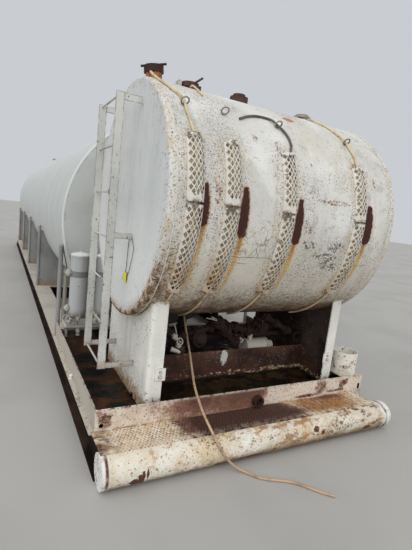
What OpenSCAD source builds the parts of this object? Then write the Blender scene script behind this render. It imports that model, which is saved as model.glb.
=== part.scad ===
// Tank skid: a short multi-compartment cross tank and a long tank on one pair of beams,
// with a drip pan, end pipes, ladder, sight tubes under mesh guards and a filter set.
// Millimetres. X runs across the skid, Y along it away from the cross tank, Z up from the ground.

/* [Skid] */
// Overall width of the skid
skid_width = 2438; // [2300:1:2700]
// Distance between the axes of the two end pipes
skid_length = 11600; // [11200:10:14000]
// Depth of the side beams
beam_height = 195; // [160:1:300]
// Width of a beam flange
beam_flange = 100; // [80:1:140]
// Thickness of a beam flange
beam_flange_t = 12; // [8:0.5:16]
// Thickness of a beam web
beam_web_t = 8; // [5:0.5:12]
// Outer diameter of the end pipes
pipe_dia = 210; // [196:1:240]
// Wall of the end pipes
pipe_wall = 8; // [5:0.5:14]
// Distance of the end pipes' ends inside the skid's sides
pipe_inset = 9; // [0:1:40]
// Thickness of the round plate on an end pipe's left end
pipe_cap_t = 24; // [6:1:40]
// Length of the rounded cap on an end pipe's right end
pipe_dome = 78; // [60:1:120]
// Width of the open joint between an end pipe and its end plate or cap
pipe_joint = 8; // [3:1:14]
// Height of the beams' ends beside the end pipes
beam_nose = 138; // [90:1:140]
// Thickness of the skid's plates
plate_t = 6; // [4:0.5:8]
// Width of the strips of deck along the long tank
deck_width = 219; // [150:1:300]

/* [Drip pan] */
// Distance from the front pipe's axis to the pan's front wall
pan_setback = 244; // [200:1:300]
// Height of the pan's walls above the beams
pan_wall = 155; // [100:1:200]
// Distance of the pan's walls inside the skid's outer edge
pan_inset = 32; // [20:1:60]
// Distance from the front pipe's axis to the back of the pan
pan_back = 2140; // [2000:1:2180]
// Height of the sill that closes the pan's back
pan_sill = 60; // [40:1:120]
// Distance of the tread plate's left end inside the skid's side
tread_left = 14; // [0:1:200]
// Distance of the tread plate's right end inside the skid's side
tread_right = 149; // [60:1:200]
// Drop of the front wall's corner ear below the beams' top
ear_drop = 54; // [20:1:54]
// Outer diameter of the drain coupling
drain_dia = 86; // [60:1:110]
// Bore of the drain coupling
drain_bore = 60; // [30:1:70]
// Place of the drain coupling across the skid
drain_x = 36; // [-400:1:400]
// Height of the drain coupling above the beams
drain_rise = 62; // [60:1:90]

/* [Post socket] */
// Outer diameter of the open pipe socket
socket_dia = 219; // [150:1:230]
// Wall of the open pipe socket
socket_wall = 8; // [5:0.5:14]
// Height of the open pipe socket
socket_height = 192; // [100:1:260]
// Width of the plate under the socket
socket_plate = 250; // [240:1:300]

/* [Cross tank] */
// Outer diameter of the cross tank
tank_dia = 1670; // [1500:1:1760]
// Length of the cross tank over its heads
tank_length = 1866; // [1780:1:2000]
// Distance from the front pipe's axis to the cross tank's axis
tank_setback = 850; // [840:1:900]
// Height of the cross tank's axis above the beams
tank_rise = 1455; // [1400:1:1600]
// Shell and head thickness of both tanks
shell_t = 6; // [4:0.5:10]
// Straight flange of a tank head
head_skirt = 48; // [40:1:80]
// Corner radius of a tank head
head_knuckle = 18; // [14:1:30]

/* [Cross tank saddles] */
// Distance of a saddle's web inside the tank's head
saddle_inset = 83; // [60:1:140]
// Reach of a saddle in front of the cross tank's axis
saddle_reach = 550; // [500:1:570]
// Length of a saddle along the skid
saddle_depth = 1030; // [960:1:1140]
// Width of a saddle's flange
saddle_flange = 110; // [80:1:140]
// Outside radius of a saddle's bend
saddle_bend = 30; // [20:1:80]
// Thickness of a saddle's plate
saddle_t = 10; // [6:0.5:14]
// Gap left for a weld where a plate is cut to a shell
weld_gap = 0.3; // [0.1:0.1:0.5]

/* [Sump plate] */
// Distance of the upright plate between the saddles from the saddles' front
sump_setback = 400; // [300:1:450]
// Height of the plate between the saddles
sump_height = 288; // [200:1:340]
// Height of its end gussets at the front
gusset_low = 145; // [80:1:200]
// Length of its end gussets
gusset_run = 300; // [200:1:300]

/* [Ladder] */
// Distance of the rails in front of the tank's head
ladder_standoff = 152; // [120:1:158]
// Distance between the rails
ladder_width = 480; // [400:1:560]
// Distance from the front pipe's axis to the front rail
ladder_setback = 600; // [560:1:640]
// Height of the rails' feet above the beams
ladder_rise = 270; // [200:1:300]
// Distance between rungs
rung_pitch = 305; // [280:1:330]
// Number of rungs
rung_count = 7; // [7:1:7]
// Diameter of a rung
rung_dia = 15; // [12:1:28]
// Width of a rail
rail_width = 55; // [45:1:80]
// Thickness of a rail
rail_t = 10; // [6:0.5:14]
// Height of the flat bars that hold the ladder
bracket_height = 40; // [30:1:70]

/* [Fill fittings] */
// Outer diameter of a fill neck
neck_dia = 114; // [80:1:120]
// Bore of a fill neck
neck_bore = 102; // [60:1:104]
// Diameter of a fill cap
cap_dia = 142; // [130:1:160]
// Diameter of a bar handle
bar_dia = 16; // [10:1:20]

/* [Gauge guards] */
// Width of a mesh guard
guard_width = 110; // [90:1:130]
// Height of a mesh guard over the shell
guard_rise = 34; // [28:1:45]
// Thickness of the mesh
guard_t = 3; // [2:0.5:5]
// Width of one diamond of the mesh, across the guard
mesh_width = 26; // [22:0.5:32]
// Length of one diamond of the mesh, along the guard
mesh_length = 47; // [40:0.5:60]
// Width of a strand between two diamonds
mesh_strand = 4.4; // [3:0.1:6]
// Plain band at each end of a length of guard
mesh_band = 8; // [4:1:30]
// Outer diameter of a sight tube
tube_dia = 16; // [12:1:20]

/* [Long tank] */
// Distance of the long tank's sides inside the skid's sides
long_side = 44; // [40:1:100]
// Length of the long tank
long_length = 9000; // [8800:10:9200]
// Clear height under the long tank's bottom
long_clear = 45; // [30:1:120]
// Distance of the long tank's front head behind the pan
long_gap = 65; // [58:1:120]
// Distance from the long tank's front head to its first saddle
saddle_first = 2355; // [2100:1:2400]
// Distance between the long tank's saddles
saddle_pitch = 2090; // [2000:1:2100]
// Number of saddles under the long tank
saddle_count = 4; // [2:1:4]
// Half of the angle of the long tank that a saddle wraps
saddle_wrap = 73; // [60:1:75]
// Diameter of the pipe posts at the saddles
post_dia = 44; // [40:1:60]
// Height of the posts over the saddles
post_over = 80; // [20:1:100]
// Distance of the posts' axes inside the skid's sides
post_inset = 45; // [42:1:60]
// Diameter of the long tank's vent
vent_dia = 80; // [50:1:100]
// Distance of the vent to the left of the long tank's middle
vent_left = 300; // [0:1:400]
// Distance of the vent from the long tank's back head
vent_back = 405; // [200:1:800]
// Height of the vent over the long tank's shell
vent_rise = 120; // [60:1:160]

/* [Filters] */
// Diameter of a filter housing
filter_dia = 184; // [150:1:200]
// Height of a filter housing's body
filter_body = 604; // [500:1:700]
// Height of the filters' feet above the beams
filter_rise = 275; // [240:1:320]
// Distance between the two filters
filter_pitch = 252; // [240:1:300]
// Distance of the filters' axes in front of the pan's back
filter_gap = 190; // [180:1:240]
// Distance of the first filter's axis inside the pan's wall
filter_inset = 167; // [160:1:180]
// Drop from the filters' feet to the lower header's axis
header_drop = 125; // [100:1:160]
// Diameter of the manifold pipes
manifold_dia = 42; // [30:1:48]
// Height of the riser's top above the beams
riser_height = 710; // [600:1:800]
// Clearance between the riser and the first post
riser_clear = 12; // [10:1:20]

/* [Outlets] */
// Outer diameter of an outlet stub
outlet_dia = 60; // [40:1:80]
// Wall of the outlet pipes
outlet_wall = 5; // [3:0.5:8]
// Length of an outlet stub below the tank
outlet_drop = 90; // [60:1:120]
// Diameter of a valve's body
valve_dia = 92; // [84:1:110]
// Height of a valve over its flanges
valve_height = 120; // [110:1:140]
// Diameter of the outlet header
header_dia = 70; // [60:1:80]
// Length of the outlet header
header_length = 1240; // [1150:1:1300]
// Diameter of the pump's body
pump_dia = 140; // [100:1:160]
// Length of the pump's body
pump_length = 240; // [200:1:280]
// Place of the pump across the skid
pump_x = 350; // [200:1:440]
// Height of the pump's axis above the beams
pump_rise = 280; // [200:1:290]
// Reach of the header's open end towards the front
header_reach = 150; // [80:1:180]

/* [Hidden] */
$fn = 64;
half_width = skid_width / 2;
pipe_half = half_width - pipe_inset;
pipe_r = pipe_dia / 2;
mid_y = skid_length / 2;
pan_x = half_width - pan_inset;
floor_z = beam_height + plate_t;
wall_z = beam_height + pan_wall;
tank_r = tank_dia / 2;
tank_z = beam_height + tank_rise;
head_x = tank_length / 2;
web_x = head_x - saddle_inset;
saddle_y0 = tank_setback - saddle_reach;
saddle_y1 = saddle_y0 + saddle_depth;
sump_y = saddle_y0 + sump_setback;
rail_x = -head_x - ladder_standoff;
rail_y = [ladder_setback, ladder_setback + ladder_width];
rail_z0 = beam_height + ladder_rise;
rung_z0 = rail_z0 + rung_dia / 2 + 2;
rail_z1 = rung_z0 + (rung_count - 1) * rung_pitch + rung_dia;
// Places along the cross tank, in parts of its length from the left head
fill_at = [0.078, 0.226, 0.458, 0.808];
gauge_at = [0.087, 0.221, 0.452, 0.799];
ring_at = [0.074, 0.221, 0.444, 0.787];
fill_x = [for (f = fill_at) (f - 0.5) * tank_length];
gauge_x = [for (f = gauge_at) (f - 0.5) * tank_length];
ring_x = [for (f = ring_at) (f - 0.5) * tank_length];
long_dia = skid_width - 2 * long_side;
long_r = long_dia / 2;
long_z = beam_height + long_clear + long_r;
long_y0 = pan_back + long_gap;
long_y1 = long_y0 + long_length;
long_saddle_z = long_z - long_r * cos(saddle_wrap);
saddle_y = [for (i = [0:saddle_count - 1]) long_y0 + saddle_first + i * saddle_pitch];
post_x = half_width - post_inset;
post_y = concat([pan_back + post_dia / 2 + 2], saddle_y);
post_top = long_saddle_z + post_over;
deck_end = skid_length - pan_setback;
filter_z0 = beam_height + filter_rise;
filter_y = pan_back - filter_gap;
filter_x = [-pan_x + filter_inset, -pan_x + filter_inset + filter_pitch];
socket_x = pan_x - plate_t - socket_plate / 2;
socket_y = pan_setback + plate_t + socket_dia / 2 + 4;
ring_angle = 45;
guard_angles = [[2.2, 29], [-38, 1.2]];
riser_x = -post_x + post_dia / 2 + manifold_dia / 2 + riser_clear;
riser_y = post_y[0];
riser_top = beam_height + riser_height;
valve_z = tank_z - tank_r - outlet_drop - valve_height / 2;
header_z = valve_z - valve_height / 2 - header_dia / 2;
pump_y = sump_y + plate_t + pump_dia / 2 + 10;
pump_z = beam_height + pump_rise;
hose_dia = 17;

// Moves what is built from the front pipe's axis to the middle of the skid.
module place() {
  translate([0, -mid_y, 0]) children();
}

// Extrudes a profile given in X and Z along the skid.
module along_y(y0, y1) {
  translate([0, y1, 0]) rotate([90, 0, 0]) linear_extrude(y1 - y0) children();
}

// Extrudes a profile given in Y and Z across the skid.
module along_x(x0, x1) {
  translate([x0, 0, 0]) rotate([90, 0, 90]) linear_extrude(x1 - x0) children();
}

// A box from two opposite corners.
module block(a, b) {
  translate(a) cube(b - a);
}

// An I profile, centred on its web and standing on its lower flange.
module i_profile() {
  translate([-beam_flange / 2, 0]) square([beam_flange, beam_flange_t]);
  translate([-beam_flange / 2, beam_height - beam_flange_t]) square([beam_flange, beam_flange_t]);
  translate([-beam_web_t / 2, beam_flange_t - 1]) square([beam_web_t, beam_height - 2 * beam_flange_t + 2]);
}

// A cup that closes a round shell, its face at zero and its skirt towards +X.
module head_cup(r) {
  rotate([0, 90, 0]) rotate_extrude($fn = 128) difference() {
    union() {
      square([r - head_knuckle, head_skirt]);
      translate([0, head_knuckle]) square([r, head_skirt - head_knuckle]);
      translate([r - head_knuckle, head_knuckle]) circle(head_knuckle);
    }
    translate([0, shell_t]) square([r - head_knuckle, head_skirt]);
    translate([0, head_knuckle]) square([r - shell_t, head_skirt]);
    translate([r - head_knuckle, head_knuckle]) circle(head_knuckle - shell_t);
  }
}

// One tube swept as a closed mesh along a list of points.
function unit(v) = v / norm(v);
function tangent(p, i) = unit(p[min(i + 1, len(p) - 1)] - p[max(i - 1, 0)]);
function side(t) = abs(t[2]) > 0.9 ? unit(cross(t, [0, 1, 0])) : unit(cross(t, [0, 0, 1]));
module sweep(p, d, sides) {
  n = len(p);
  rings = [for (i = [0:n - 1]) let (t = tangent(p, i), a = side(t), b = cross(a, t))
    for (k = [0:sides - 1]) p[i] + d / 2 * (cos(360 * k / sides) * a + sin(360 * k / sides) * b)];
  walls = [for (i = [0:n - 2]) for (k = [0:sides - 1]) let (m = (k + 1) % sides)
    [i * sides + k, i * sides + m, (i + 1) * sides + m, (i + 1) * sides + k]];
  first = [[for (k = [sides - 1:-1:0]) k]];
  last = [[for (k = [0:sides - 1]) (n - 1) * sides + k]];
  polyhedron(points = rings, faces = concat(first, walls, last), convexity = 8);
}

// A point on a circle round the cross tank's axis: 0 degrees faces the front, 90 is the top.
function around(x, r, a) = [x, tank_setback - r * cos(a), tank_z + r * sin(a)];

// The low end of a beam, coped to the end pipe in front of it.
module beam_end(length) {
  difference() {
    union() {
      block([-beam_flange / 2, length / 4, 0], [beam_flange / 2, length + 1, beam_flange_t]);
      block([-beam_web_t / 2, length / 4, beam_flange_t - 1], [beam_web_t / 2, length + 1, beam_nose]);
    }
    translate([0, 0, pipe_r]) rotate([0, 90, 0])
      cylinder(h = 2 * beam_flange, r = pipe_r + weld_gap, center = true);
  }
}

module skid_beams() {
  y0 = pan_setback + plate_t;
  color("dimgray") place() for (s = [-1, 1]) translate([s * (half_width - beam_flange / 2), 0, 0]) {
    along_y(y0, skid_length - y0) i_profile();
    beam_end(y0);
    translate([0, skid_length, 0]) mirror([0, 1, 0]) beam_end(y0);
  }
}

module skid_cross_beams() {
  inner = half_width - beam_flange;
  web = half_width - beam_flange / 2 - beam_web_t / 2;
  rows = concat([pan_setback + 60, tank_setback, saddle_y1, pan_back - 60], saddle_y);
  color("slategray") place() for (y = rows) translate([0, y, 0]) {
    along_x(-inner, inner) i_profile();
    block([-web, -beam_web_t / 2, beam_flange_t], [web, beam_web_t / 2, beam_height - beam_flange_t]);
  }
}

// An open pipe across the skid, lying on the ground.
module end_pipe(y) {
  x0 = -pipe_half + pipe_cap_t + pipe_joint;
  x1 = pipe_half - pipe_dome - pipe_joint;
  translate([0, y, pipe_r]) along_x(x0, x1) difference() {
    circle(pipe_r);
    circle(pipe_r - pipe_wall);
  }
}

module front_pipe() {
  color("wheat") place() end_pipe(0);
}

module rear_pipe() {
  color("wheat") place() end_pipe(skid_length);
}

// A flat plate on a pipe's left end and a rounded cap on its right end, each on a narrower ring.
module pipe_end_plates() {
  bend = 0.4 * pipe_r;
  ring_r = pipe_r - pipe_wall / 2;
  color("tan") place() for (y = [0, skid_length]) translate([0, y, pipe_r]) rotate([0, 90, 0]) {
    translate([0, 0, -pipe_half]) cylinder(h = pipe_cap_t, r = pipe_r);
    translate([0, 0, -pipe_half + pipe_cap_t]) cylinder(h = pipe_joint, r = ring_r);
    translate([0, 0, pipe_half - pipe_dome - pipe_joint]) cylinder(h = pipe_joint, r = ring_r);
    translate([0, 0, pipe_half - pipe_dome]) rotate_extrude() union() {
      square([pipe_r, pipe_dome - bend]);
      square([pipe_r - bend, pipe_dome]);
      translate([pipe_r - bend, pipe_dome - bend]) intersection() {
        circle(bend);
        square(bend);
      }
    }
  }
}

// A plate from the top of an end pipe to the foot of the wall behind it.
module tread() {
  lip = 12;
  top = pipe_dia;
  foot = beam_height;
  along_x(-half_width + tread_left, half_width - tread_right)
    polygon([[-lip, top], [0, top], [pan_setback, foot], [pan_setback, foot + plate_t],
      [0, top + plate_t], [-lip, top + plate_t]]);
}

module tread_plate() {
  color("burlywood") place() tread();
}

module rear_tread_plate() {
  color("burlywood") place() translate([0, skid_length, 0]) mirror([0, 1, 0]) tread();
}

module pan_front_wall() {
  color("rosybrown") place() difference() {
    union() {
      block([-pan_x, pan_setback, beam_height], [pan_x, pan_setback + plate_t, wall_z]);
      block([half_width - tread_right, pan_setback, beam_height - ear_drop],
        [pan_x, pan_setback + plate_t, beam_height + 1]);
    }
    translate([-pan_x + 40, pan_setback, beam_height + 45]) rotate([90, 0, 0])
      cylinder(h = 40, r = 15, center = true);
    translate([drain_x, pan_setback, beam_height + drain_rise]) rotate([90, 0, 0])
      cylinder(h = 40, r = drain_bore / 2, center = true);
    translate([pan_x - 32, pan_setback, beam_height + 32]) rotate([90, 0, 0])
      cylinder(h = 40, r = 14, center = true);
    block([pan_x - 46, pan_setback - 20, beam_height + 32], [pan_x - 18, pan_setback + 20, beam_height + 62]);
    translate([pan_x - 32, pan_setback, beam_height + 62]) rotate([90, 0, 0])
      cylinder(h = 40, r = 14, center = true);
  }
}

module pan_side_walls() {
  y0 = pan_setback + plate_t;
  x = pan_x - plate_t - weld_gap;
  color("linen") place() {
    for (s = [0, 1]) mirror([s, 0, 0])
      block([pan_x - plate_t, y0, beam_height], [pan_x, pan_back, wall_z]);
    block([-x, pan_back - plate_t, floor_z], [x, pan_back, floor_z + pan_sill]);
  }
}

module pan_floor() {
  color("sienna") place()
    block([-pan_x + plate_t, pan_setback + plate_t, beam_height], [pan_x - plate_t, pan_back, floor_z]);
}

module drain_coupling() {
  length = 44;
  color("brown") place() translate([drain_x, pan_setback, beam_height + drain_rise]) rotate([90, 0, 0])
    difference() {
      cylinder(h = length, r = drain_dia / 2);
      translate([0, 0, -1]) cylinder(h = length + 2, r = drain_bore / 2);
    }
}

module corner_plate() {
  x0 = pan_x - plate_t - socket_plate;
  y0 = pan_setback + plate_t;
  color("ivory") place() {
    block([x0, y0, wall_z - plate_t], [pan_x - plate_t, y0 + socket_plate, wall_z]);
    block([x0, y0 + socket_plate - plate_t, floor_z], [pan_x - plate_t, y0 + socket_plate, wall_z - plate_t]);
  }
}

module post_socket() {
  color("white") place() translate([socket_x, socket_y, wall_z]) difference() {
    cylinder(h = socket_height, r = socket_dia / 2);
    translate([0, 0, -1]) cylinder(h = socket_height + 2, r = socket_dia / 2 - socket_wall);
  }
}

module deck_strips() {
  color("linen") place() for (s = [0, 1]) mirror([s, 0, 0])
    block([half_width - deck_width, pan_back, beam_height], [half_width, deck_end, floor_z]);
}

module sump_plate() {
  x = web_x - saddle_t;
  color("saddlebrown") place() {
    block([-x, sump_y, floor_z], [x, sump_y + plate_t, floor_z + sump_height]);
    for (s = [0, 1]) mirror([s, 0, 0]) along_x(x - plate_t, x)
      polygon([[sump_y - gusset_run, floor_z], [sump_y, floor_z], [sump_y, floor_z + sump_height],
        [sump_y - gusset_run, floor_z + gusset_low]]);
  }
}

// A bent plate in plan: its web outside and its flanges turned inwards, towards -X.
module channel_plan() {
  inner = web_x - saddle_flange;
  difference() {
    union() {
      translate([inner, saddle_y0]) square([saddle_flange - saddle_bend, saddle_depth]);
      translate([inner, saddle_y0 + saddle_bend]) square([saddle_flange, saddle_depth - 2 * saddle_bend]);
      for (y = [saddle_y0 + saddle_bend, saddle_y1 - saddle_bend])
        translate([web_x - saddle_bend, y]) circle(saddle_bend);
    }
    translate([inner - 1, saddle_y0 + saddle_t])
      square([saddle_flange - saddle_bend + 1, saddle_depth - 2 * saddle_t]);
    translate([inner - 1, saddle_y0 + saddle_bend])
      square([saddle_flange - saddle_t + 1, saddle_depth - 2 * saddle_bend]);
    for (y = [saddle_y0 + saddle_bend, saddle_y1 - saddle_bend])
      translate([web_x - saddle_bend, y]) circle(saddle_bend - saddle_t);
  }
}

module saddle() {
  notch_y = saddle_y0 + 250;
  difference() {
    translate([0, 0, floor_z]) linear_extrude(tank_rise - 0.55 * tank_r) channel_plan();
    translate([0, tank_setback, tank_z]) rotate([0, 90, 0])
      cylinder(h = 4 * tank_r, r = tank_r + weld_gap, center = true, $fn = 128);
    block([web_x - saddle_t - 5, notch_y, floor_z - 1], [web_x + 5, notch_y + 60, floor_z + 40]);
    translate([web_x, notch_y + 30, floor_z + 40]) rotate([0, 90, 0])
      cylinder(h = 40, r = 30, center = true);
  }
  // Small ear on the front flange's inner edge
  translate([web_x - saddle_flange - 18, saddle_y0 - 8, floor_z + 275]) cube([76, 8, 88]);
}

module saddle_left() {
  color("gainsboro") place() mirror([1, 0, 0]) saddle();
}

module saddle_right() {
  color("gainsboro") place() saddle();
}

module tank_shell() {
  color("floralwhite") place() difference() {
    translate([0, tank_setback, tank_z]) along_x(-head_x + head_skirt, head_x - head_skirt) difference() {
      circle(tank_r, $fn = 128);
      circle(tank_r - shell_t, $fn = 128);
    }
    for (x = fill_x) translate([x, tank_setback, tank_z + tank_r])
      cylinder(h = 60, r = neck_bore / 2, center = true);
  }
}

module tank_head_left() {
  color("lightsteelblue") place() translate([-head_x, tank_setback, tank_z]) head_cup(tank_r);
}

module tank_head_right() {
  color("lightsteelblue") place() translate([head_x, tank_setback, tank_z]) mirror([1, 0, 0]) head_cup(tank_r);
}

// Heights of the four necks above the tank's top, and how far each leans
neck_rise = [90, 30, 22, 36];
neck_lean = [-7, 0, 0, 0];
module on_neck(i, rise) {
  translate([fill_x[i], tank_setback, tank_z + tank_r]) rotate([0, neck_lean[i], 0])
    translate([0, 0, rise]) children();
}

module fill_necks() {
  color("peru") place() for (i = [0:3]) difference() {
    on_neck(i, -neck_dia) difference() {
      cylinder(h = neck_dia + neck_rise[i], r = neck_dia / 2);
      translate([0, 0, -1]) cylinder(h = neck_dia + neck_rise[i] + 2, r = neck_bore / 2);
    }
    translate([fill_x[i], tank_setback, tank_z]) rotate([0, 90, 0])
      cylinder(h = 4 * neck_dia, r = tank_r + weld_gap, center = true, $fn = 128);
  }
}

module fill_cap_1() {
  top = 30;
  color("brown") place() on_neck(0, neck_rise[0]) {
    difference() {
      translate([0, 0, -18]) cylinder(h = 18 + top, r = cap_dia / 2, $fn = 12);
      translate([0, 0, -19]) cylinder(h = 19, r = neck_dia / 2 + weld_gap);
    }
    translate([0, 0, top + bar_dia / 2 - 2]) rotate([0, 90, -40])
      cylinder(h = 1.34 * cap_dia, r = bar_dia / 2, center = true);
  }
}

module fill_cap_2() {
  color("brown") place() on_neck(1, neck_rise[1]) {
    difference() {
      translate([0, 0, -14]) cylinder(h = 54, r = cap_dia / 2 - 4);
      translate([0, 0, -15]) cylinder(h = 15, r = neck_dia / 2 + weld_gap);
    }
    for (a = [-30:120:210]) rotate(a + 20) translate([cap_dia / 2 - 12, -14, 2]) cube([26, 28, 30]);
    translate([0, 0, 22]) rotate([0, 52, 10]) rotate(40) cylinder(h = 0.98 * cap_dia, r = bar_dia / 2);
  }
}

module fill_cap_3() {
  color("brown") place() on_neck(2, neck_rise[2]) {
    difference() {
      translate([0, 0, -10]) cylinder(h = 56, r = cap_dia / 2 + 4, $fn = 8);
      translate([0, 0, -11]) cylinder(h = 11, r = neck_dia / 2 + weld_gap);
    }
    translate([0, 0, 46]) cylinder(h = 20, r = cap_dia / 2 - 22);
  }
}

module fill_cap_4() {
  color("gray") place() on_neck(3, neck_rise[3]) {
    cylinder(h = 14, r = cap_dia / 2 + 4);
    translate([0, 0, 14]) cylinder(h = 16, r = cap_dia / 2 - 18);
  }
}

// One length of arched guard over a sight tube, between two angles on the shell, cut to diamonds:
// rows of four and three by turns, half a diamond apart, each cut square to the shell.
module guard_length(x, a0, a1) {
  w = guard_width / 2;
  r0 = tank_r + weld_gap;
  r1 = tank_r + guard_rise;
  turn = 180 / PI / tank_r;
  first = mesh_length / 2 + mesh_band;
  rows = floor(((a1 - a0) / turn - 2 * first) / (mesh_length / 2));
  shrink = 1 - mesh_strand * norm([mesh_width, mesh_length]) / (mesh_width * mesh_length);
  cols = floor(w / mesh_width);
  translate([x, tank_setback, tank_z]) rotate([90, 0, 90]) rotate(180 - a1) difference() {
    rotate_extrude(angle = a1 - a0, $fn = 128) polygon([[r0, -w], [r0 + guard_t, -w],
      [r1, -0.45 * w], [r1, 0.45 * w], [r0 + guard_t, w], [r0, w], [r1 - guard_t, 0.4 * w],
      [r1 - guard_t, -0.4 * w]]);
    for (k = [0:rows]) rotate((first + k * mesh_length / 2) * turn) {
      even = k % 2 == 0;
      for (c = even ? [-cols:cols - 1] : [1 - cols:cols - 1])
        translate([tank_r - 10, 0, (c + (even ? 0.5 : 0)) * mesh_width]) rotate([0, 90, 0])
          linear_extrude(guard_rise + 20) polygon(shrink / 2 * [[mesh_width, 0], [0, mesh_length],
            [-mesh_width, 0], [0, -mesh_length]]);
    }
  }
}

module guard(i) {
  for (a = guard_angles) guard_length(gauge_x[i], a[0], a[1]);
}

module guard_1() {
  color("silver") place() guard(0);
}

module guard_2() {
  color("silver") place() guard(1);
}

module guard_3() {
  color("silver") place() guard(2);
}

module guard_4() {
  color("silver") place() guard(3);
}

module tube_rings() {
  ring_r = 24;
  color("darkgray") place() for (x = ring_x) translate([x, tank_setback, tank_z]) rotate([90 - ring_angle, 0, 0])
    translate([0, 0, tank_r + ring_r + 5]) rotate([90, 0, 0])
      rotate_extrude($fn = 32) translate([ring_r, 0]) circle(5, $fn = 16);
}

// Upper runs of the sight tubes: the distance beside the guard in tank lengths, the angle on the shell
// and the lift off it in tube diameters. The first starts at its neck and the third crosses the top.
// Below its upper run each tube goes down under its guard, and its lower end hangs below the shell.
tube_r = tank_r + tube_dia / 2 + weld_gap;
tube_runs = [
  [[-0.0332, 86, 2.8], [-0.048, 82, 2.4], [-0.059, 76, 1.4], [-0.0605, 70, 0.4], [-0.0535, 63.4, 0],
    [-0.0405, 58, 0], [-0.0255, 53.4, 0.1], [-0.0155, 49.5, 0.5], [-0.0125, 45, 0.6], [-0.0105, 40, 0.1],
    [-0.005, 34, 0], [0, 29, 0]],
  [[0, 27.5, 0]],
  [[-0.17, 44.2, 0], [-0.127, 47.7, 0], [-0.083, 49.9, 0], [-0.0425, 50.4, 0], [-0.018, 48.6, 0.4],
    [-0.008, 45, 0.6], [0.014, 43, 0.1], [0.025, 39, 0], [0.026, 34.5, 0], [0.018, 31.5, 0],
    [0.0095, 28.7, 0], [0.003, 26, 0], [0, 22, 0]],
  [[-0.0685, 72, 0], [-0.0515, 65.4, 0], [-0.033, 60, 0], [-0.0205, 54, 0], [-0.0125, 49, 0.5],
    [-0.0115, 45, 0.6], [-0.005, 42, 0.2], [0.003, 37, 0], [0, 31.5, 0]]];
function tube_point(i, q) = around(gauge_x[i] + q[0] * tank_length, tube_r + q[2] * tube_dia, q[1]);
module sight_tubes() {
  color("khaki") place() for (i = [0:3]) {
    run = tube_runs[i];
    last = run[len(run) - 1][1];
    sweep(concat([for (q = run) tube_point(i, q)], [for (a = [last - 4:-4:-71]) tube_point(i, [0, a, 0])],
      [tube_point(i, [0, -74, 0])]), tube_dia, 8);
  }
}

// Route of the loose hose, from under the cross tank over the pan's wall to the ground.
hose_route = [[-390, 790, 790], [-393, 755, 740], [-400, 690, 670], [-412, 610, 600], [-430, 520, 535],
  [-452, 430, 476], [-474, 340, 420], [-492, 250, 379], [-505, 160, 346], [-512, 80, 312], [-508, 0, 272],
  [-496, -60, 228], [-470, -105, 172], [-430, -130, 110], [-385, -140, 62], [-340, -150, 28],
  [-300, -175, 12], [-262, -225, 9], [-215, -268, 9], [-160, -300, 9], [-100, -330, 9], [-40, -375, 9],
  [10, -435, 9], [60, -495, 9], [114, -549, 9]];
module loose_hose() {
  color("tan") place() sweep(hose_route, hose_dia, 8);
}

module ladder_rails() {
  color("white") place() for (y = rail_y) block([rail_x - rail_width / 2, y - rail_t / 2, rail_z0],
    [rail_x + rail_width / 2, y + rail_t / 2, rail_z1]);
}

module ladder_rungs() {
  span = ladder_width - rail_t;
  color("gray") place() for (i = [0:rung_count - 1])
    translate([rail_x, rail_y[0] + rail_t / 2 + span / 2, rung_z0 + i * rung_pitch]) rotate([90, 0, 0])
      cylinder(h = span, r = rung_dia / 2, center = true);
}

module ladder_brackets() {
  t = 8;
  x0 = rail_x + rail_width / 2;
  middle_z = rung_z0 + 3 * rung_pitch;
  color("whitesmoke") place() for (k = [0, 1]) {
    y = rail_y[k];
    block([x0, y - t / 2, rail_z1 - bracket_height - 6], [-head_x, y + t / 2, rail_z1 - 3]);
    if (k == 0) block([x0, y - t / 2, middle_z], [-head_x, y + t / 2, middle_z + bracket_height]);
    block([x0, y - t / 2, rail_z0 + 3], [-web_x, y + t / 2, rail_z0 + 3 + bracket_height]);
  }
}

module outlet_stubs() {
  low = tank_r + outlet_drop;
  color("darkred") place() for (x = gauge_x) translate([x * 0.72, tank_setback, tank_z]) difference() {
    translate([0, 0, -low]) cylinder(h = low, r = outlet_dia / 2);
    translate([0, 0, -low - 1]) cylinder(h = low + 2, r = outlet_dia / 2 - outlet_wall);
    rotate([0, 90, 0]) cylinder(h = 4 * outlet_dia, r = tank_r + weld_gap, center = true, $fn = 128);
  }
}

module outlet_valves() {
  flange_r = valve_dia / 2 - 4;
  flange_t = valve_height / 6;
  color("black") place() for (x = gauge_x) translate([x * 0.72, tank_setback, valve_z]) {
    sphere(valve_dia / 2);
    for (s = [-1, 1]) translate([0, 0, s * (valve_height - flange_t) / 2])
      cylinder(h = flange_t, r = flange_r, $fn = 8, center = true);
    rotate([90, 0, 0]) cylinder(h = 1.2 * valve_dia, r = valve_dia / 7);
    translate([0, -1.2 * valve_dia, 0]) rotate([90, 0, 0]) cylinder(h = 10, r = flange_r);
  }
}

// One pipe under the valves, with an elbow at its right end that turns to the front and stands open.
module header_run(r) {
  end_x = web_x - saddle_t - header_dia;
  translate([-header_length / 2, 0, 0]) rotate([0, 90, 0]) cylinder(h = end_x + header_length / 2, r = r);
  translate([end_x, 0, 0]) sphere(r);
  translate([end_x, 0, 0]) rotate([90, 0, 0]) cylinder(h = header_reach, r = r);
}

module outlet_header() {
  r = header_dia / 2;
  end_x = web_x - saddle_t - header_dia;
  color("maroon") place() translate([0, tank_setback, header_z]) difference() {
    union() {
      header_run(r);
      translate([end_x, -header_reach + 14, 0]) rotate([90, 0, 0]) cylinder(h = 14, r = r + 16);
    }
    header_run(r - outlet_wall);
    translate([end_x, -header_reach + 1, 0]) rotate([90, 0, 0]) cylinder(h = 4, r = r - outlet_wall);
    translate([-header_length / 2 - 1, 0, 0]) rotate([0, 90, 0]) cylinder(h = 4, r = r - outlet_wall);
  }
}

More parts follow.
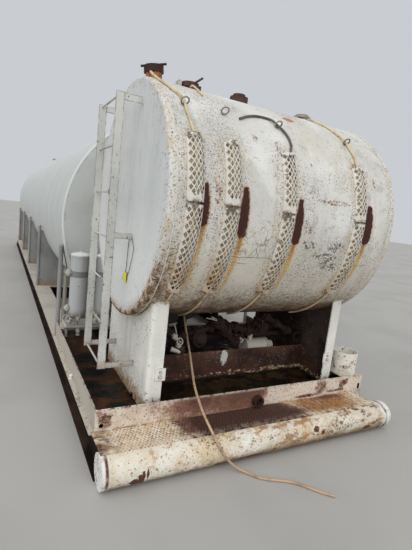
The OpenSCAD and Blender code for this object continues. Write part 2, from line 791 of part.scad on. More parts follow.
module pump() {
  color("gray") place() translate([pump_x, pump_y, pump_z]) {
    rotate([0, 90, 0]) cylinder(h = pump_length, r = pump_dia / 2, center = true);
    translate([pump_length / 2, 0, 0]) rotate([0, 90, 0]) cylinder(h = pump_length / 4, r = pump_dia / 3);
    translate([-pump_length / 4, 0, 0]) cylinder(h = 0.85 * pump_dia, r = pump_dia / 6);
    for (s = [-1, 1]) translate([s * pump_length / 2.2, 0, 0]) rotate([0, 90, 0])
      cylinder(h = pump_length / 16, r = pump_dia / 2 + 8, center = true);
  }
}

module pump_stand() {
  top = pump_z - pump_dia / 2 - 8 - weld_gap;
  x = pump_length / 2 + 10;
  y = pump_dia / 2;
  color("brown") place() translate([pump_x, pump_y, 0]) {
    block([-x, -y, floor_z], [x, y, floor_z + 10]);
    block([-x, -y, top - 10], [x, y, top]);
    for (s = [-1, 1]) translate([s * (x - 25), 0, 0]) block([-8, -y + 10, floor_z + 9], [8, y - 10, top - 9]);
  }
}

module long_shell() {
  color("lightgray") place() translate([0, 0, long_z])
    along_y(long_y0 + head_skirt, long_y1 - head_skirt) difference() {
      circle(long_r, $fn = 128);
      circle(long_r - shell_t, $fn = 128);
    }
}

module long_head_front() {
  color("silver") place() translate([0, long_y0, long_z]) rotate([0, 0, 90]) head_cup(long_r);
}

module long_head_back() {
  color("silver") place() translate([0, long_y1, long_z]) rotate([0, 0, -90]) head_cup(long_r);
}

module long_saddles() {
  x = post_x - post_dia / 2;
  color("gray") place() for (y = saddle_y) difference() {
    block([-x, y - saddle_t / 2, floor_z], [x, y + saddle_t / 2, long_saddle_z]);
    translate([0, y, long_z]) rotate([90, 0, 0])
      cylinder(h = 4 * saddle_t, r = long_r + weld_gap, center = true, $fn = 128);
  }
}

module side_posts() {
  knob = post_dia / 2 + 3;
  color("lightslategray") place() for (y = post_y) for (s = [-1, 1]) translate([s * post_x, y, 0]) {
    translate([0, 0, floor_z]) cylinder(h = post_top - knob - floor_z, r = post_dia / 2);
    translate([0, 0, post_top - knob]) sphere(knob);
  }
}

module long_vent() {
  top = sqrt(pow(long_r, 2) - pow(vent_left, 2)) + vent_rise;
  color("gray") place() translate([0, long_y1 - vent_back, long_z]) difference() {
    translate([-vent_left, 0, 0]) {
      cylinder(h = top, r = vent_dia / 2);
      translate([0, 0, top - vent_rise / 3]) cylinder(h = vent_rise / 3, r = 0.75 * vent_dia);
    }
    rotate([90, 0, 0]) cylinder(h = 4 * vent_dia, r = long_r + weld_gap, center = true, $fn = 128);
  }
}

module filter_housings() {
  color("lightslategray") place() for (x = filter_x) translate([x, filter_y, filter_z0]) {
    cylinder(h = filter_body, r = filter_dia / 2 - 4);
    translate([0, 0, filter_body - 16]) cylinder(h = 16, r = filter_dia / 2);
  }
}

module filter_lids() {
  color("white") place() for (x = filter_x) translate([x, filter_y, filter_z0 + filter_body]) {
    rotate_extrude() polygon([[0, 0], [filter_dia / 2, 0], [filter_dia / 2, 9], [0.4 * filter_dia, 20],
      [0.2 * filter_dia, 29], [16, 32], [0, 32]]);
    translate([0, 0, 32]) cylinder(h = 14, r = 8);
  }
}

// Two header pipes under the filters, joined to the riser, on two feet.
module filter_manifolds() {
  r = manifold_dia / 2;
  low = filter_z0 - header_drop;
  high = filter_z0 - r;
  x1 = filter_x[1] + filter_dia / 2;
  color("lightgray") place() {
    translate([riser_x, filter_y, low]) rotate([0, 90, 0]) cylinder(h = x1 - riser_x, r = r);
    translate([riser_x, filter_y, high]) rotate([0, 90, 0]) cylinder(h = x1 - riser_x, r = r);
    for (x = filter_x) translate([x, filter_y, low]) cylinder(h = high - low, r = r - 5);
    translate([riser_x, filter_y, low]) sphere(r + 4);
    translate([riser_x, riser_y, low]) sphere(r + 4);
    translate([riser_x, riser_y, low]) rotate([90, 0, 0]) cylinder(h = riser_y - filter_y, r = r);
    for (x = [riser_x, filter_x[1]]) translate([x, filter_y, floor_z]) {
      cylinder(h = low - floor_z, r = r - 5);
      cylinder(h = 8, r = r + 22);
    }
  }
}

module filter_valves() {
  z = filter_z0 - (header_drop + manifold_dia / 2) / 2;
  color("dimgray") place() for (x = [riser_x + 36, (filter_x[0] + filter_x[1]) / 2]) translate([x, filter_y, z]) {
    cylinder(h = header_drop - 1.5 * manifold_dia - 2 * weld_gap, r = 12, center = true);
    sphere(22);
    rotate([90, 0, 0]) cylinder(h = 44, r = 6);
    translate([0, -44, 0]) rotate([90, 0, 0]) cylinder(h = 6, r = 26);
  }
}

// The riser beside the first post, held to it by two straps.
module level_gauge() {
  r = manifold_dia / 2;
  low = filter_z0 - header_drop;
  color("darkgray") place() {
    translate([riser_x, riser_y, low + r + 6]) cylinder(h = riser_top - low - r - 6, r = r);
    for (z = [low + 150, riser_top - 30]) {
      translate([riser_x, riser_y, z]) cylinder(h = 40, r = r + 7, center = true);
      block([-post_x + post_dia / 2 + weld_gap, riser_y - 14, z - 14], [riser_x, riser_y + 14, z + 14]);
      translate([riser_x, riser_y, z]) rotate([90, 0, 0]) cylinder(h = 46, r = 9);
    }
  }
}

skid_beams();
skid_cross_beams();
front_pipe();
rear_pipe();
pipe_end_plates();
tread_plate();
rear_tread_plate();
pan_front_wall();
pan_side_walls();
pan_floor();
drain_coupling();
corner_plate();
post_socket();
deck_strips();
sump_plate();
saddle_left();
saddle_right();
tank_shell();
tank_head_left();
tank_head_right();
fill_necks();
fill_cap_1();
fill_cap_2();
fill_cap_3();
fill_cap_4();
guard_1();
guard_2();
guard_3();
guard_4();
tube_rings();
sight_tubes();
loose_hose();
ladder_rails();
ladder_rungs();
ladder_brackets();
outlet_stubs();
outlet_valves();
outlet_header();
pump();
pump_stand();
long_shell();
long_head_front();
long_head_back();
long_saddles();
side_posts();
long_vent();
filter_housings();
filter_lids();
filter_manifolds();
filter_valves();
level_gauge();
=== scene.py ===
"Looks of the tank skid: camera, loose hose, small pieces, materials, studio. Metres, in the part's own frame."
import functools
import math
import random
import bpy
from mathutils import Matrix, Vector


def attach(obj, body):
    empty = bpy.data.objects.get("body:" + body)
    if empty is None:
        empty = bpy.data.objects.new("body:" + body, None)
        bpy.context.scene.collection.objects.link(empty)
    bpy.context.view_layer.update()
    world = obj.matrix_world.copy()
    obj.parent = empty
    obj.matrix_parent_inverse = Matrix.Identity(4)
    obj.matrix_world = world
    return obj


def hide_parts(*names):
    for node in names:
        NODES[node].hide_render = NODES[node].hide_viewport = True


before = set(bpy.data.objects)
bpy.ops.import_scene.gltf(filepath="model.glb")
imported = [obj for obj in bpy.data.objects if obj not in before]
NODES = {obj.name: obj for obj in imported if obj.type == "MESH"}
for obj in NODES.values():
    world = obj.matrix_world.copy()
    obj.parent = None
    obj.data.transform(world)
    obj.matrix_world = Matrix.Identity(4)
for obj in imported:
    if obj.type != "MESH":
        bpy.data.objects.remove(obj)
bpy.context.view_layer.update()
rng = random.Random(7)
Y0 = -5.8                             # the front pipe's axis
AXIS = 0.85                           # from there back to the cross tank's axis
TY, TZ, TR = Y0 + AXIS, 1.65, 0.835   # cross tank: its axis, along X, and its radius
LENGTH = 1.866                        # cross tank over its heads
LZ, LR = 1.415, 1.175                 # long tank: height of its axis, along Y at X = 0, and its radius
GAUGE_X, FILL_X = (tuple((f - 0.5) * LENGTH for f in row)   # guards and fill necks in parts of the length
                   for row in ((0.087, 0.221, 0.452, 0.799), (0.078, 0.226, 0.458, 0.808)))
PATCHES = (   # long rust patches on the shell: x, top and foot along the arc, swell
    (-0.706, 0.145, -0.088, 1.0), (-0.43, 0.155, -0.14, 1.05), (0.002, 0.128, -0.152, 1.1), (0.656, 0.15, -0.105, 1.4))


# ------------------------------------------------------------------ camera
def make_camera():
    """The photo's camera, solved from the straight edges and the tank's head."""
    yaw, pitch, roll = (math.radians(a) for a in (28.459, 9.096, 6.428))
    fwd = Vector((math.sin(yaw) * math.cos(pitch), math.cos(yaw) * math.cos(pitch), -math.sin(pitch)))
    right = Vector((math.cos(yaw), -math.sin(yaw), 0))
    up = right.cross(fwd)
    r = right * math.cos(roll) + up * math.sin(roll)
    u = up * math.cos(roll) - right * math.sin(roll)
    cam = bpy.data.objects.new("camera", bpy.data.cameras.new("camera"))
    cam.data.sensor_width, cam.data.lens = 36, 25.73
    m = Matrix((r, u, -fwd)).transposed().to_4x4()
    m.translation = Vector((-1.7494, Y0 - 2.0176, 1.6331))
    cam.matrix_world = m
    bpy.context.scene.collection.objects.link(cam)
    bpy.context.scene.camera = cam


make_camera()


# ------------------------------------------------------------------ mesh helpers
def ring(at, a, c, r, n):
    """A list of n points round a centre, in the plane of the directions a and c."""
    return [at + r * (math.cos(w) * a + math.sin(w) * c) for w in (2 * math.pi * k / n for k in range(n))]


class Batch:
    """Collects solids that share a material and makes one mesh of them."""

    def __init__(self):
        self.v, self.f = [], []

    def add(self, verts, faces):
        o = len(self.v)
        self.v += [Vector(p) for p in verts]
        self.f += [tuple(i + o for i in f) for f in faces]

    def make(self, name, mat, slot, angle=40, replaces=()):
        me = bpy.data.meshes.new(name)
        me.from_pydata(self.v, [], self.f)
        me.validate()
        me.polygons.foreach_set("use_smooth", [True] * len(me.polygons))
        me.set_sharp_from_angle(angle=math.radians(angle))
        me.materials.append(mat)
        ob = bpy.data.objects.new(name, me)
        bpy.context.scene.collection.objects.link(ob)
        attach(ob, "root")
        if replaces:
            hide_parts(*replaces)
        return ob

    def skin(self, verts, sides, closed=False):
        """Joins rings of points into a tube, with flat ends unless the row of rings is closed."""
        n = len(verts) // sides
        faces = [(i * sides + k, i * sides + m, j * sides + m, j * sides + k)
                 for i, j in ((i, (i + 1) % n) for i in range(n if closed else n - 1))
                 for k, m in ((k, (k + 1) % sides) for k in range(sides))]
        if not closed:
            faces += [tuple(range(sides - 1, -1, -1)), tuple(range((n - 1) * sides, n * sides))]
        self.add(verts, faces)

    def tube(self, pts, radius, sides=10, closed=False):
        """A round tube along the points, with one radius or a radius for each point."""
        pts = [Vector(p) for p in pts]
        n = len(pts)
        radii = radius if isinstance(radius, list) else [radius] * n
        prev = (pts[1] - pts[0]).normalized()
        a = prev.orthogonal().normalized()
        verts = []
        for i, p in enumerate(pts):
            ahead = pts[(i + 1) % n] if closed or i < n - 1 else p
            behind = pts[i - 1] if closed or i else p
            t = (ahead - behind).normalized()
            a = (prev.rotation_difference(t) @ a).normalized()
            prev = t
            verts += ring(p, a, t.cross(a), radii[i], sides)
        self.skin(verts, sides, closed)

    def lathe(self, origin, axis, profile, sides=32):
        """A turned solid with flat ends: profile is (distance along the axis, radius)."""
        axis = Vector(axis).normalized()
        a = axis.orthogonal().normalized()
        c = axis.cross(a)
        self.skin([p for h, r in profile for p in ring(Vector(origin) + axis * h, a, c, r, sides)], sides)

    def bolt(self, at, axis, size):
        """A hexagon head with a chamfer, a washer under it and a stub of thread."""
        for sides, profile in ((16, ((0, 0.95), (0.16, 0.95))), (6, ((0.16, 0.78), (0.7, 0.78), (0.8, 0.62))),
                               (10, ((0.8, 0.36), (1.15, 0.34)))):
            self.lathe(at, axis, [(size * h, size * r) for h, r in profile], sides)


def smooth_path(points, steps):
    """A Catmull-Rom line through the points."""
    p = [Vector(q) for q in points]
    p = [2 * p[0] - p[1]] + p + [2 * p[-1] - p[-2]]
    out = []
    for i in range(1, len(p) - 2):
        a, b, c, d = p[i - 1:i + 3]
        for t in (k / steps for k in range(steps)):
            out.append(0.5 * (2 * b + (c - a) * t + (2 * a - 5 * b + 4 * c - d) * t * t
                              + (3 * b - a - 3 * c + d) * t ** 3))
    return out + [p[-2]]


def front(x, y, z):
    """A point given in millimetres from the front pipe's axis."""
    return Vector((x / 1000, Y0 + y / 1000, z / 1000))


def curve(points, steps=4):
    """A smooth line through points given as in front()."""
    return smooth_path([front(*p) for p in points], steps)


def around(x, r, a):
    """A point round the cross tank's axis: 0 degrees faces the front, 90 is the top."""
    a = math.radians(a)
    return Vector((x, TY - r * math.cos(a), TZ + r * math.sin(a)))


# ------------------------------------------------------------------ material helpers
def rgb(r, g, b):
    """Screen colour 0 to 255 to a linear colour."""
    return tuple((c / 255 / 12.92 if c <= 10 else ((c / 255 + 0.055) / 1.055) ** 2.4) for c in (r, g, b)) + (1.0,)


def shade(colour, k):
    """The colour, darkened by the factor k."""
    return tuple(int(c * k) for c in colour)


def sum_of(kind, swapped=False):
    """A Python operator that adds a Math node."""
    return lambda a, b: a.mat.op(kind, *((b, a) if swapped else (a, b)))


class Field:
    """A number that varies over a surface: a node's output that can be written in sums."""
    __add__, __radd__ = sum_of("ADD"), sum_of("ADD", True)
    __sub__, __rsub__ = sum_of("SUBTRACT"), sum_of("SUBTRACT", True)
    __mul__, __rmul__ = sum_of("MULTIPLY"), sum_of("MULTIPLY", True)
    __truediv__, __pow__ = sum_of("DIVIDE"), sum_of("POWER")

    def __init__(self, mat, socket):
        self.mat, self.socket = mat, socket

    def __abs__(self):
        return self.mat.op("ABSOLUTE", self)

    def ramp(self, a, b, c=0, d=1):
        """A smooth change from c, where the field is a, to d, where it is b."""
        return self.mat.field("MapRange", self, a, b, c, d, interpolation_type="SMOOTHSTEP")

    def near(self, at, far, close):
        """1 where the field is within close of at, 0 where it is further off than far."""
        return abs(self - at).ramp(far, close)


class Mat:
    """A weathered surface built up from masks over the object's own coordinates."""

    def __init__(self, name, base, rough=0.55, spec=0.35):
        self.m = bpy.data.materials.new(name)
        self.m.use_nodes = True
        self.m.diffuse_color = rgb(*base)
        self.t = self.m.node_tree
        self.t.nodes.clear()
        self.b = self.node("BsdfPrincipled")
        self.b.inputs["Specular IOR Level"].default_value = spec
        self.t.links.new(self.b.outputs[0], self.node("OutputMaterial").inputs[0])
        self.vec = self.node("TexCoord").outputs["Object"]
        self.X, self.Y, self.Z = self.parts(self.vec)
        self.col, self.rough, self.h, self.shared = rgb(*base), rough, None, {}

    def node(self, kind, *values, **props):
        n = self.t.nodes.new("ShaderNode" + kind)
        for k, v in props.items():
            setattr(n, k, v)
        for i, v in enumerate(values):
            self.put(n.inputs[i], v)
        return n

    def field(self, kind, *values, **props):
        return Field(self, self.node(kind, *values, **props).outputs[0])

    def put(self, socket, v):
        if isinstance(v, Field):
            v = v.socket
        if isinstance(v, bpy.types.NodeSocket):
            self.t.links.new(v, socket)
        else:
            socket.default_value = v

    def op(self, kind, *v):
        return self.field("Math", *v, operation=kind)

    def most(self, *v):
        return functools.reduce(lambda a, b: self.op("MAXIMUM", a, b), v)

    def least(self, *v):
        return functools.reduce(lambda a, b: self.op("MINIMUM", a, b), v)

    def parts(self, vec):
        """The x, y and z of a vector."""
        return [Field(self, s) for s in self.node("SeparateXYZ", vec).outputs]

    def normal(self):
        return self.node("NewGeometry").outputs["Normal"]

    def comb(self, x, y):
        return self.node("CombineXYZ", x, y, 0.0).outputs[0]

    def scaled(self, k, off=(0, 0, 0), vec=None):
        return self.node("VectorMath", vec or self.vec, k, off, operation="MULTIPLY_ADD").outputs[0]

    def noise(self, scale, detail=5, rough=0.6, off=(0, 0, 0), k=(1, 1, 1), dist=0):
        n = self.node("TexNoise")
        self.put(n.inputs["Vector"], self.scaled(k, off))
        for key, v in (("Scale", scale), ("Detail", detail), ("Roughness", rough), ("Distortion", dist)):
            n.inputs[key].default_value = v
        return Field(self, n.outputs[0])

    def cloud(self, low, high, *how, **also):
        """Noise as a mask: 0 below the low level, 1 above the high one."""
        return self.noise(*how, **also).ramp(low, high)

    def sway(self, *how, **also):
        """A noise around zero."""
        return self.noise(*how, **also) - 0.5

    def specks(self, scale, share, size, off=(0, 0, 0), k=(1, 1, 1)):
        """Irregular small spots in a share of the cells of a grid. share may be a mask."""
        warp = self.node("TexNoise")
        base = self.scaled(k, off)
        self.put(warp.inputs["Vector"], base)
        warp.inputs["Scale"].default_value = scale * 2.2
        warp.inputs["Detail"].default_value = 2
        v = self.node("TexVoronoi", self.scaled((0.8 / scale,) * 3, base, warp.outputs[1]))
        v.inputs["Scale"].default_value = scale
        chance, large = (Field(self, s) for s in self.node("SeparateColor", v.outputs["Color"]).outputs[:2])
        r = large * (size * 0.8) + size * 0.3
        spot = Field(self, v.outputs["Distance"]).ramp(r * 0.6, r, 1, 0)
        return spot * self.op("GREATER_THAN", chance, 1 - share)

    def mix(self, mask, old, new, kind, first, result):
        """A Mix node; its two sockets for that kind of value start at the number first."""
        n = self.node("Mix", data_type=kind)
        for i, v in ((0, mask), (first, old), (first + 1, new)):
            self.put(n.inputs[i], v)
        return n.outputs[result]

    def paint(self, colour, mask, rough=None, raised=None):
        """Lays a colour over what is there where the mask is, and a roughness and a height with it."""
        self.col = self.mix(mask, self.col, rgb(*colour), "RGBA", 6, 2)
        if rough is not None:
            self.rough = self.mix(mask, self.rough, rough, "FLOAT", 2, 0)
        if raised is not None:
            self.raise_(mask, raised)

    def raise_(self, mask, amount):
        v = mask * amount
        self.h = v if self.h is None else self.h + v

    def edge(self, radius):
        """Wear where two faces meet."""
        bevel = self.node("Bevel", radius, samples=4).outputs[0]
        d = self.node("VectorMath", bevel, self.normal(), operation="DOT_PRODUCT").outputs["Value"]
        return (1 - Field(self, d)).ramp(0.02, 0.2)

    def corner(self, distance):
        """Dirt where faces stand close together."""
        n = self.node("AmbientOcclusion", samples=6)
        n.inputs["Distance"].default_value = distance
        return 1 - Field(self, n.outputs["AO"])

    def chips(self, scale, dense, level, off=(0, 0, 0), soft=0.018, k=(1, 1, 1)):
        """Ragged flaked spots: few where dense is 0, many where it is 1."""
        return (dense * 0.11 + self.noise(scale, 5, 0.68, off, k)).ramp(level, level + soft)

    def blob(self, u, v, cu, cv, ru, rv, warp=0.25, scale=14, crisp=0.12):
        """A rounded patch with a ragged outline."""
        du, dv = (u - cu) / ru, (v - cv) / rv
        if scale not in self.shared:
            self.shared[scale] = self.sway(scale, 4, off=(1.7, 2.9, 1.3))
        d = self.shared[scale] * (warp * 4) + (du * du + dv * dv) ** 0.5
        return d.ramp(1 + crisp, 1 - crisp)

    def blobs(self, u, v, rows, *how):
        """Several such patches as one mask; a row gives a centre and two half sizes."""
        return self.most(*(self.blob(u, v, *row, *how) for row in rows))

    def done(self, bump=0.6, *relief, fine=0.00025):
        """Ends a surface; each relief is a height and the numbers of a noise."""
        for height, *how in (*relief, (fine, 260, 3)):
            self.raise_(self.noise(*how), height)
        n = self.node("Bump")
        for key, v in (("Strength", bump), ("Distance", 1), ("Height", self.h)):
            self.put(n.inputs[key], v)
        for key, v in (("Normal", n.outputs[0]), ("Base Color", self.col), ("Roughness", self.rough)):
            self.put(self.b.inputs[key], v)
        return self.m


RUST_DARK, RUST, GRIME = (62, 34, 28), (112, 66, 42), (92, 80, 68)


def steel_paint(name, base, rust=0.25, dirt=0.3, rough=0.5, edge=0.005, low=None, spot=(58, 44, 36)):
    """Plain painted steel: uneven paint, dark specks, rust at edges and low down."""
    m = Mat(name, base, rough)
    cloud = m.noise(1.7)
    m.paint(tuple(max(0, c - 26) for c in base), cloud.ramp(0.42, 0.72))
    run = m.noise(9, 4, k=(1, 1, 0.12))
    m.paint(shade(base, 0.8), run.ramp(0.55, 0.8) * dirt)
    m.paint(GRIME, m.corner(0.1).ramp(0.25, 0.9) * (0.75 * dirt + 0.2), 0.8)
    if low:
        lowness = m.Z.ramp(low[1], low[0]) + m.sway(16, 5, 0.65)
        m.paint((150, 116, 84), lowness.ramp(0.5, 1.1) * 0.65, 0.8)
        m.paint(RUST_DARK, m.cloud(0.6, 0.64, 34, 6, 0.7, (4, 1, 2)) * lowness.ramp(0.4, 0.9), 0.85)
    m.paint(RUST, m.cloud(0.66, 0.74, 5, 6, 0.7, (9, 3, 5)) * rust, 0.8)
    m.paint(spot, m.specks(42, 0.06 + 0.12 * rust, 0.3) * 0.9, 0.8)
    m.paint((84, 62, 50), m.chips(48, cloud.ramp(0.4, 0.62, 0.1, 0.2 + 0.9 * rust), 0.7, (3, 8, 1)) * 0.9, 0.8)
    e = m.edge(edge) * m.cloud(0.4, 0.54, 20, 5, 0.65, (1, 2, 9))
    m.paint((84, 60, 48), e * min(1, 0.35 + rust), 0.85)
    return m.done(0.6, (0.0006, 60, 4))


def rusty(name, base, pale=(128, 92, 66), wet=0.75, spots=None):
    """Bare rusted iron or steel."""
    m = Mat(name, base, wet)
    m.paint(shade(base, 0.55), m.cloud(0.42, 0.66, 3.1))
    m.paint(pale, m.cloud(0.58, 0.72, 14, 6, 0.7, (2, 0, 5)) * 0.7)
    m.paint((40, 26, 24), m.cloud(0.52, 0.62, 38, 5, 0.7, (7, 0, 1)) * 0.7)
    if spots:
        m.paint(spots, m.specks(30, 0.16, 0.26), 0.7)
    return m.done(0.8, (0.0022, 70, 6, 0.7))


# ------------------------------------------------------------------ cross tank
def make_shell():
    m = Mat("shell_paint", (214, 213, 206), 0.45)
    u, v = m.X, m.op("ARCTAN2", m.Z - TZ, TY - m.Y) * TR   # along the shell, and round it from the front
    m.vec = m.comb(u, v)
    m.paint((197, 196, 190), m.cloud(0.42, 0.68, 1.5, 5, 0.55))
    m.paint((226, 226, 222), m.cloud(0.48, 0.68, 3.4, off=(3, 3, 0)) * 0.9)
    m.paint((202, 194, 174), m.cloud(0.48, 0.72, 2.6, 6, 0.62, (5, 2, 0), k=(1, 0.35, 1)) * 0.8)
    streak = m.noise(12, k=(1, 0.05, 1))
    m.paint((186, 178, 160), streak.ramp(0.5, 0.75) * v.ramp(0.75, -0.1) * 0.6)
    m.paint((168, 168, 164), m.chips(11, m.cloud(0.4, 0.6, 2, 3, 0.5, (1, 8, 0)), 0.63, soft=0.05) * 0.45)
    m.paint((218, 210, 194), v.ramp(0, -0.45) * 0.6)
    # stain beside each guard, grime below the mesh, a run from its foot
    d = m.least(*(abs(u - g) for g in GAUGE_X))
    inside = v.ramp(0.5, 0.4) * v.ramp(-0.64, -0.56)
    grain = m.noise(30, 5, 0.65, (5, 3, 0))
    m.paint((206, 188, 154), d.ramp(0.13, 0.055) * inside * m.cloud(0.42, 0.62, 7, 6, 0.65, (0, 0, 3)) * 0.55)
    m.paint((194, 183, 163), d.ramp(0.056, 0.05) * inside * m.cloud(0.3, 0.6, 15, 5, 0.65, (9, 0, 0)), 0.8)
    m.paint((92, 68, 50), d.ramp(0.06, 0.05) * inside * grain.ramp(0.56, 0.64) * 0.75, 0.8)
    m.paint((150, 104, 62), d.ramp(0.062, 0.045) * inside * v.ramp(-0.22, -0.5) * grain.ramp(0.4, 0.54) * 0.8, 0.8)
    run = d.ramp(0.035, 0.004) * v.ramp(-0.5, -0.62) * v.ramp(-1.25, -0.8)
    m.paint((176, 126, 70), run * m.cloud(0.3, 0.6, 14, 4, k=(1, 0.1, 1), off=(3, 7, 0)) * 0.9)
    near = d.ramp(0.17, 0.06) * v.ramp(0.62, 0.42) * v.ramp(-0.75, -0.6)
    drift = m.sway(3, 2, 0.5, (11, 1, 0)) * 0.03
    strand = m.cloud(0.2, 0.5, 22, 4, k=(1, 0.12, 1))
    rag = m.sway(34, 6, 0.72, (0, 2, 2)) * 0.04
    gaps, lines, shorts = [], [], []
    for p, top, low, swell in PATCHES:   # long rust patches, each with an ochre run below
        q = abs(u + drift - (p - 0.002))
        wide = v.ramp(-1, low, 0.014, 0.036)
        lines.append(q.ramp(0, wide, 1, 0) * v.ramp(low + 0.03, low - 0.01) * v.ramp(-0.95, low))
        shorts.append(q.ramp(0.026, 0.004) * v.ramp(low + 0.02, low) * v.ramp(low - 0.2, low))
        mid, half = (top + low) / 2, (top - low) / 2
        rad = v.ramp(top, mid, 0.016 * swell, 0.029 * swell)
        over = m.most(abs(v - mid) - (half - 0.016), 0)
        q = u - p
        gaps.append((q * q + over * over) ** 0.5 - rad)
    m.paint((210, 178, 122), m.most(*lines) * strand * 1.6, 0.6)
    m.paint((160, 98, 50), m.most(*shorts) * 0.85, 0.7)
    dist = m.least(*gaps) + rag
    clear = dist.ramp(-0.001, 0.003)
    m.paint((170, 134, 100), dist.ramp(0.018, 0.002) * 0.6, 0.7)
    m.paint((122, 78, 50), dist.ramp(0.005, 0.001), 0.8)
    m.paint((62, 32, 27), dist.ramp(0.001, -0.004), 0.85, raised=-0.0012)
    m.paint((88, 48, 36), dist.ramp(-0.002, -0.006) * m.cloud(0.56, 0.64, 50, 5, 0.7, (0, 0, 6)) * 0.7)
    # flaked grey places at the right, where paint has come off in small pieces
    zone = m.blobs(u, v, (
        (0.122, -0.164, 0.066, 0.0336), (0.38, -0.17, 0.072, 0.0336), (0.3, -0.243, 0.102, 0.0264),
        (0.36, -0.29, 0.072, 0.054), (0.41, -0.34, 0.048, 0.024), (0.0765, -0.009, 0.0168, 0.0264),
        (0.11, 0.362, 0.0144, 0.0288)), 0.3, 20, 0.5)
    flake = zone * 0.16 + m.noise(38, 3, 0.5, (9, 1, 0), dist=1.2)
    m.paint((112, 115, 116), flake.ramp(0.655, 0.664) * zone.ramp(0.1, 0.3), 0.6)
    m.paint((174, 106, 66), m.blob(u, v, 0.085, 0.829, 0.05, 0.035, 0.3, 30) * 0.85, 0.8)
    spots = m.blobs(u, v, (
        (0.3, 0.14, 0.16, 0.018), (0.083, 0.19, 0.018, 0.018), (0.715, 0.33, 0.012, 0.045), (0.53, 0.44, 0.03, 0.03),
        (-0.16, 0.45, 0.02, 0.055), (0.1, -0.06, 0.05, 0.03), (-0.62, 0.1, 0.03, 0.1), (-0.33, 0.5, 0.02, 0.03)),
        0.3, 16, 0.5)
    m.paint((176, 134, 96), m.chips(24, spots, 0.6, (8, 0, 0), 0.06) * clear * 0.6, 0.75)
    m.paint((112, 74, 52), m.chips(60, spots * 1.2, 0.655, (8, 4, 0)) * 0.9, 0.8)
    crack = m.node("TexVoronoi", feature="DISTANCE_TO_EDGE")
    wob = m.noise(9, 3, off=(2, 2, 0))
    m.put(crack.inputs["Vector"], m.scaled((0.05, 0.05, 0), m.vec, m.comb(wob, wob)))
    crack.inputs["Scale"].default_value = 17
    crack = Field(m, crack.outputs["Distance"])
    field = m.blob(u, v, -0.3, -0.19, 0.16, 0.1, 0.25, 6, 0.4)
    m.paint((120, 112, 100), crack.ramp(0.045, 0.012) * field * m.cloud(0.35, 0.55, 9, 3) * 0.75, raised=-0.0006)
    for cv, u0, u1 in ((-0.279, -0.5, -0.12), (-0.325, -0.44, -0.3), (-0.3, 0.52, 0.8)):
        wave = m.sway(7, 4, off=(cv, 0, 2)) * 0.035
        ln = (v + wave).near(cv, 0.0032, 0.0012)
        m.paint((96, 82, 70), ln * u.ramp(u0, u0 + 0.05) * u.ramp(u1, u1 - 0.05) * 0.8)
    seam = u.near(-0.842, 0.004, 0.0015)
    m.paint((120, 108, 92), seam * m.cloud(0.42, 0.6, 12, 4) * v.ramp(0.2, 0.5) * 0.8)
    wave = m.sway(8, 6, 0.68, (2, 2, 0))
    fouled = u.ramp(-0.7, -0.88) * v.ramp(0, -0.45) + wave * 1.6
    m.paint((178, 152, 116), fouled.ramp(0.45, 0.85) * grain.ramp(0.4, 0.58, 0.15, 0.85), 0.75)
    m.paint((84, 64, 50), crack.ramp(0.075, 0.02) * fouled.ramp(0.25, 0.6) * grain.ramp(0.36, 0.5) * 0.85, 0.8)
    m.paint((88, 64, 48), fouled.ramp(0.8, 1.15) * grain.ramp(0.58, 0.46, 0.35, 1) * 0.9, 0.85)
    # underside: brown dirt, painted darker still towards the bottom as painted shade under the tank
    under = v.ramp(-0.36, -1.04) + wave * 1.8
    m.paint((160, 142, 118), under.ramp(0.25, 0.8) * 0.85, 0.7)
    belt = v.ramp(-0.46, -0.66) * grain.ramp(0.44, 0.6)
    m.paint((156, 134, 106), belt * 0.55, 0.75)
    m.paint((92, 72, 56), v.ramp(-0.5, -0.7) * crack.ramp(0.06, 0.015) * grain.ramp(0.46, 0.56) * 0.7, 0.8)
    m.paint((96, 74, 56), under.ramp(0.62, 1) * 0.9, 0.85)
    m.paint((48, 34, 27), under.ramp(0.92, 1.2) * 0.95, 0.9)
    rim = m.most(u.ramp(-0.78, -0.885), u.ramp(0.8, 0.885))
    low = v.ramp(-0.35, -0.8)
    cloud = m.cloud(0.42, 0.62, 2.2, 4, 0.55, (5, 5, 0))
    dense = m.most(near * 0.75, rim * 0.74, low, cloud * 0.72)
    m.paint((164, 130, 98), m.chips(30, dense, 0.665, (3, 0, 0), 0.04) * clear * 0.6, 0.75)
    m.paint((80, 54, 42), m.chips(75, dense, 0.662, (1, 6, 0)) * clear * 0.95, 0.8, raised=-0.0006)
    m.paint((56, 40, 34), m.chips(140, dense, 0.66, (7, 1, 0)) * 0.95, 0.8)
    m.paint((66, 48, 40), m.specks(90, dense * 0.25 + 0.15, 0.3) * clear * 0.9, 0.8)
    m.paint((92, 84, 76), m.specks(52, 0.08, 0.22, (2, 5, 0)) * clear * 0.85, 0.7)
    return m.done(0.55, (0.001, 45, 5, 0.65), (0.006, 2.2, 2, 0.5))


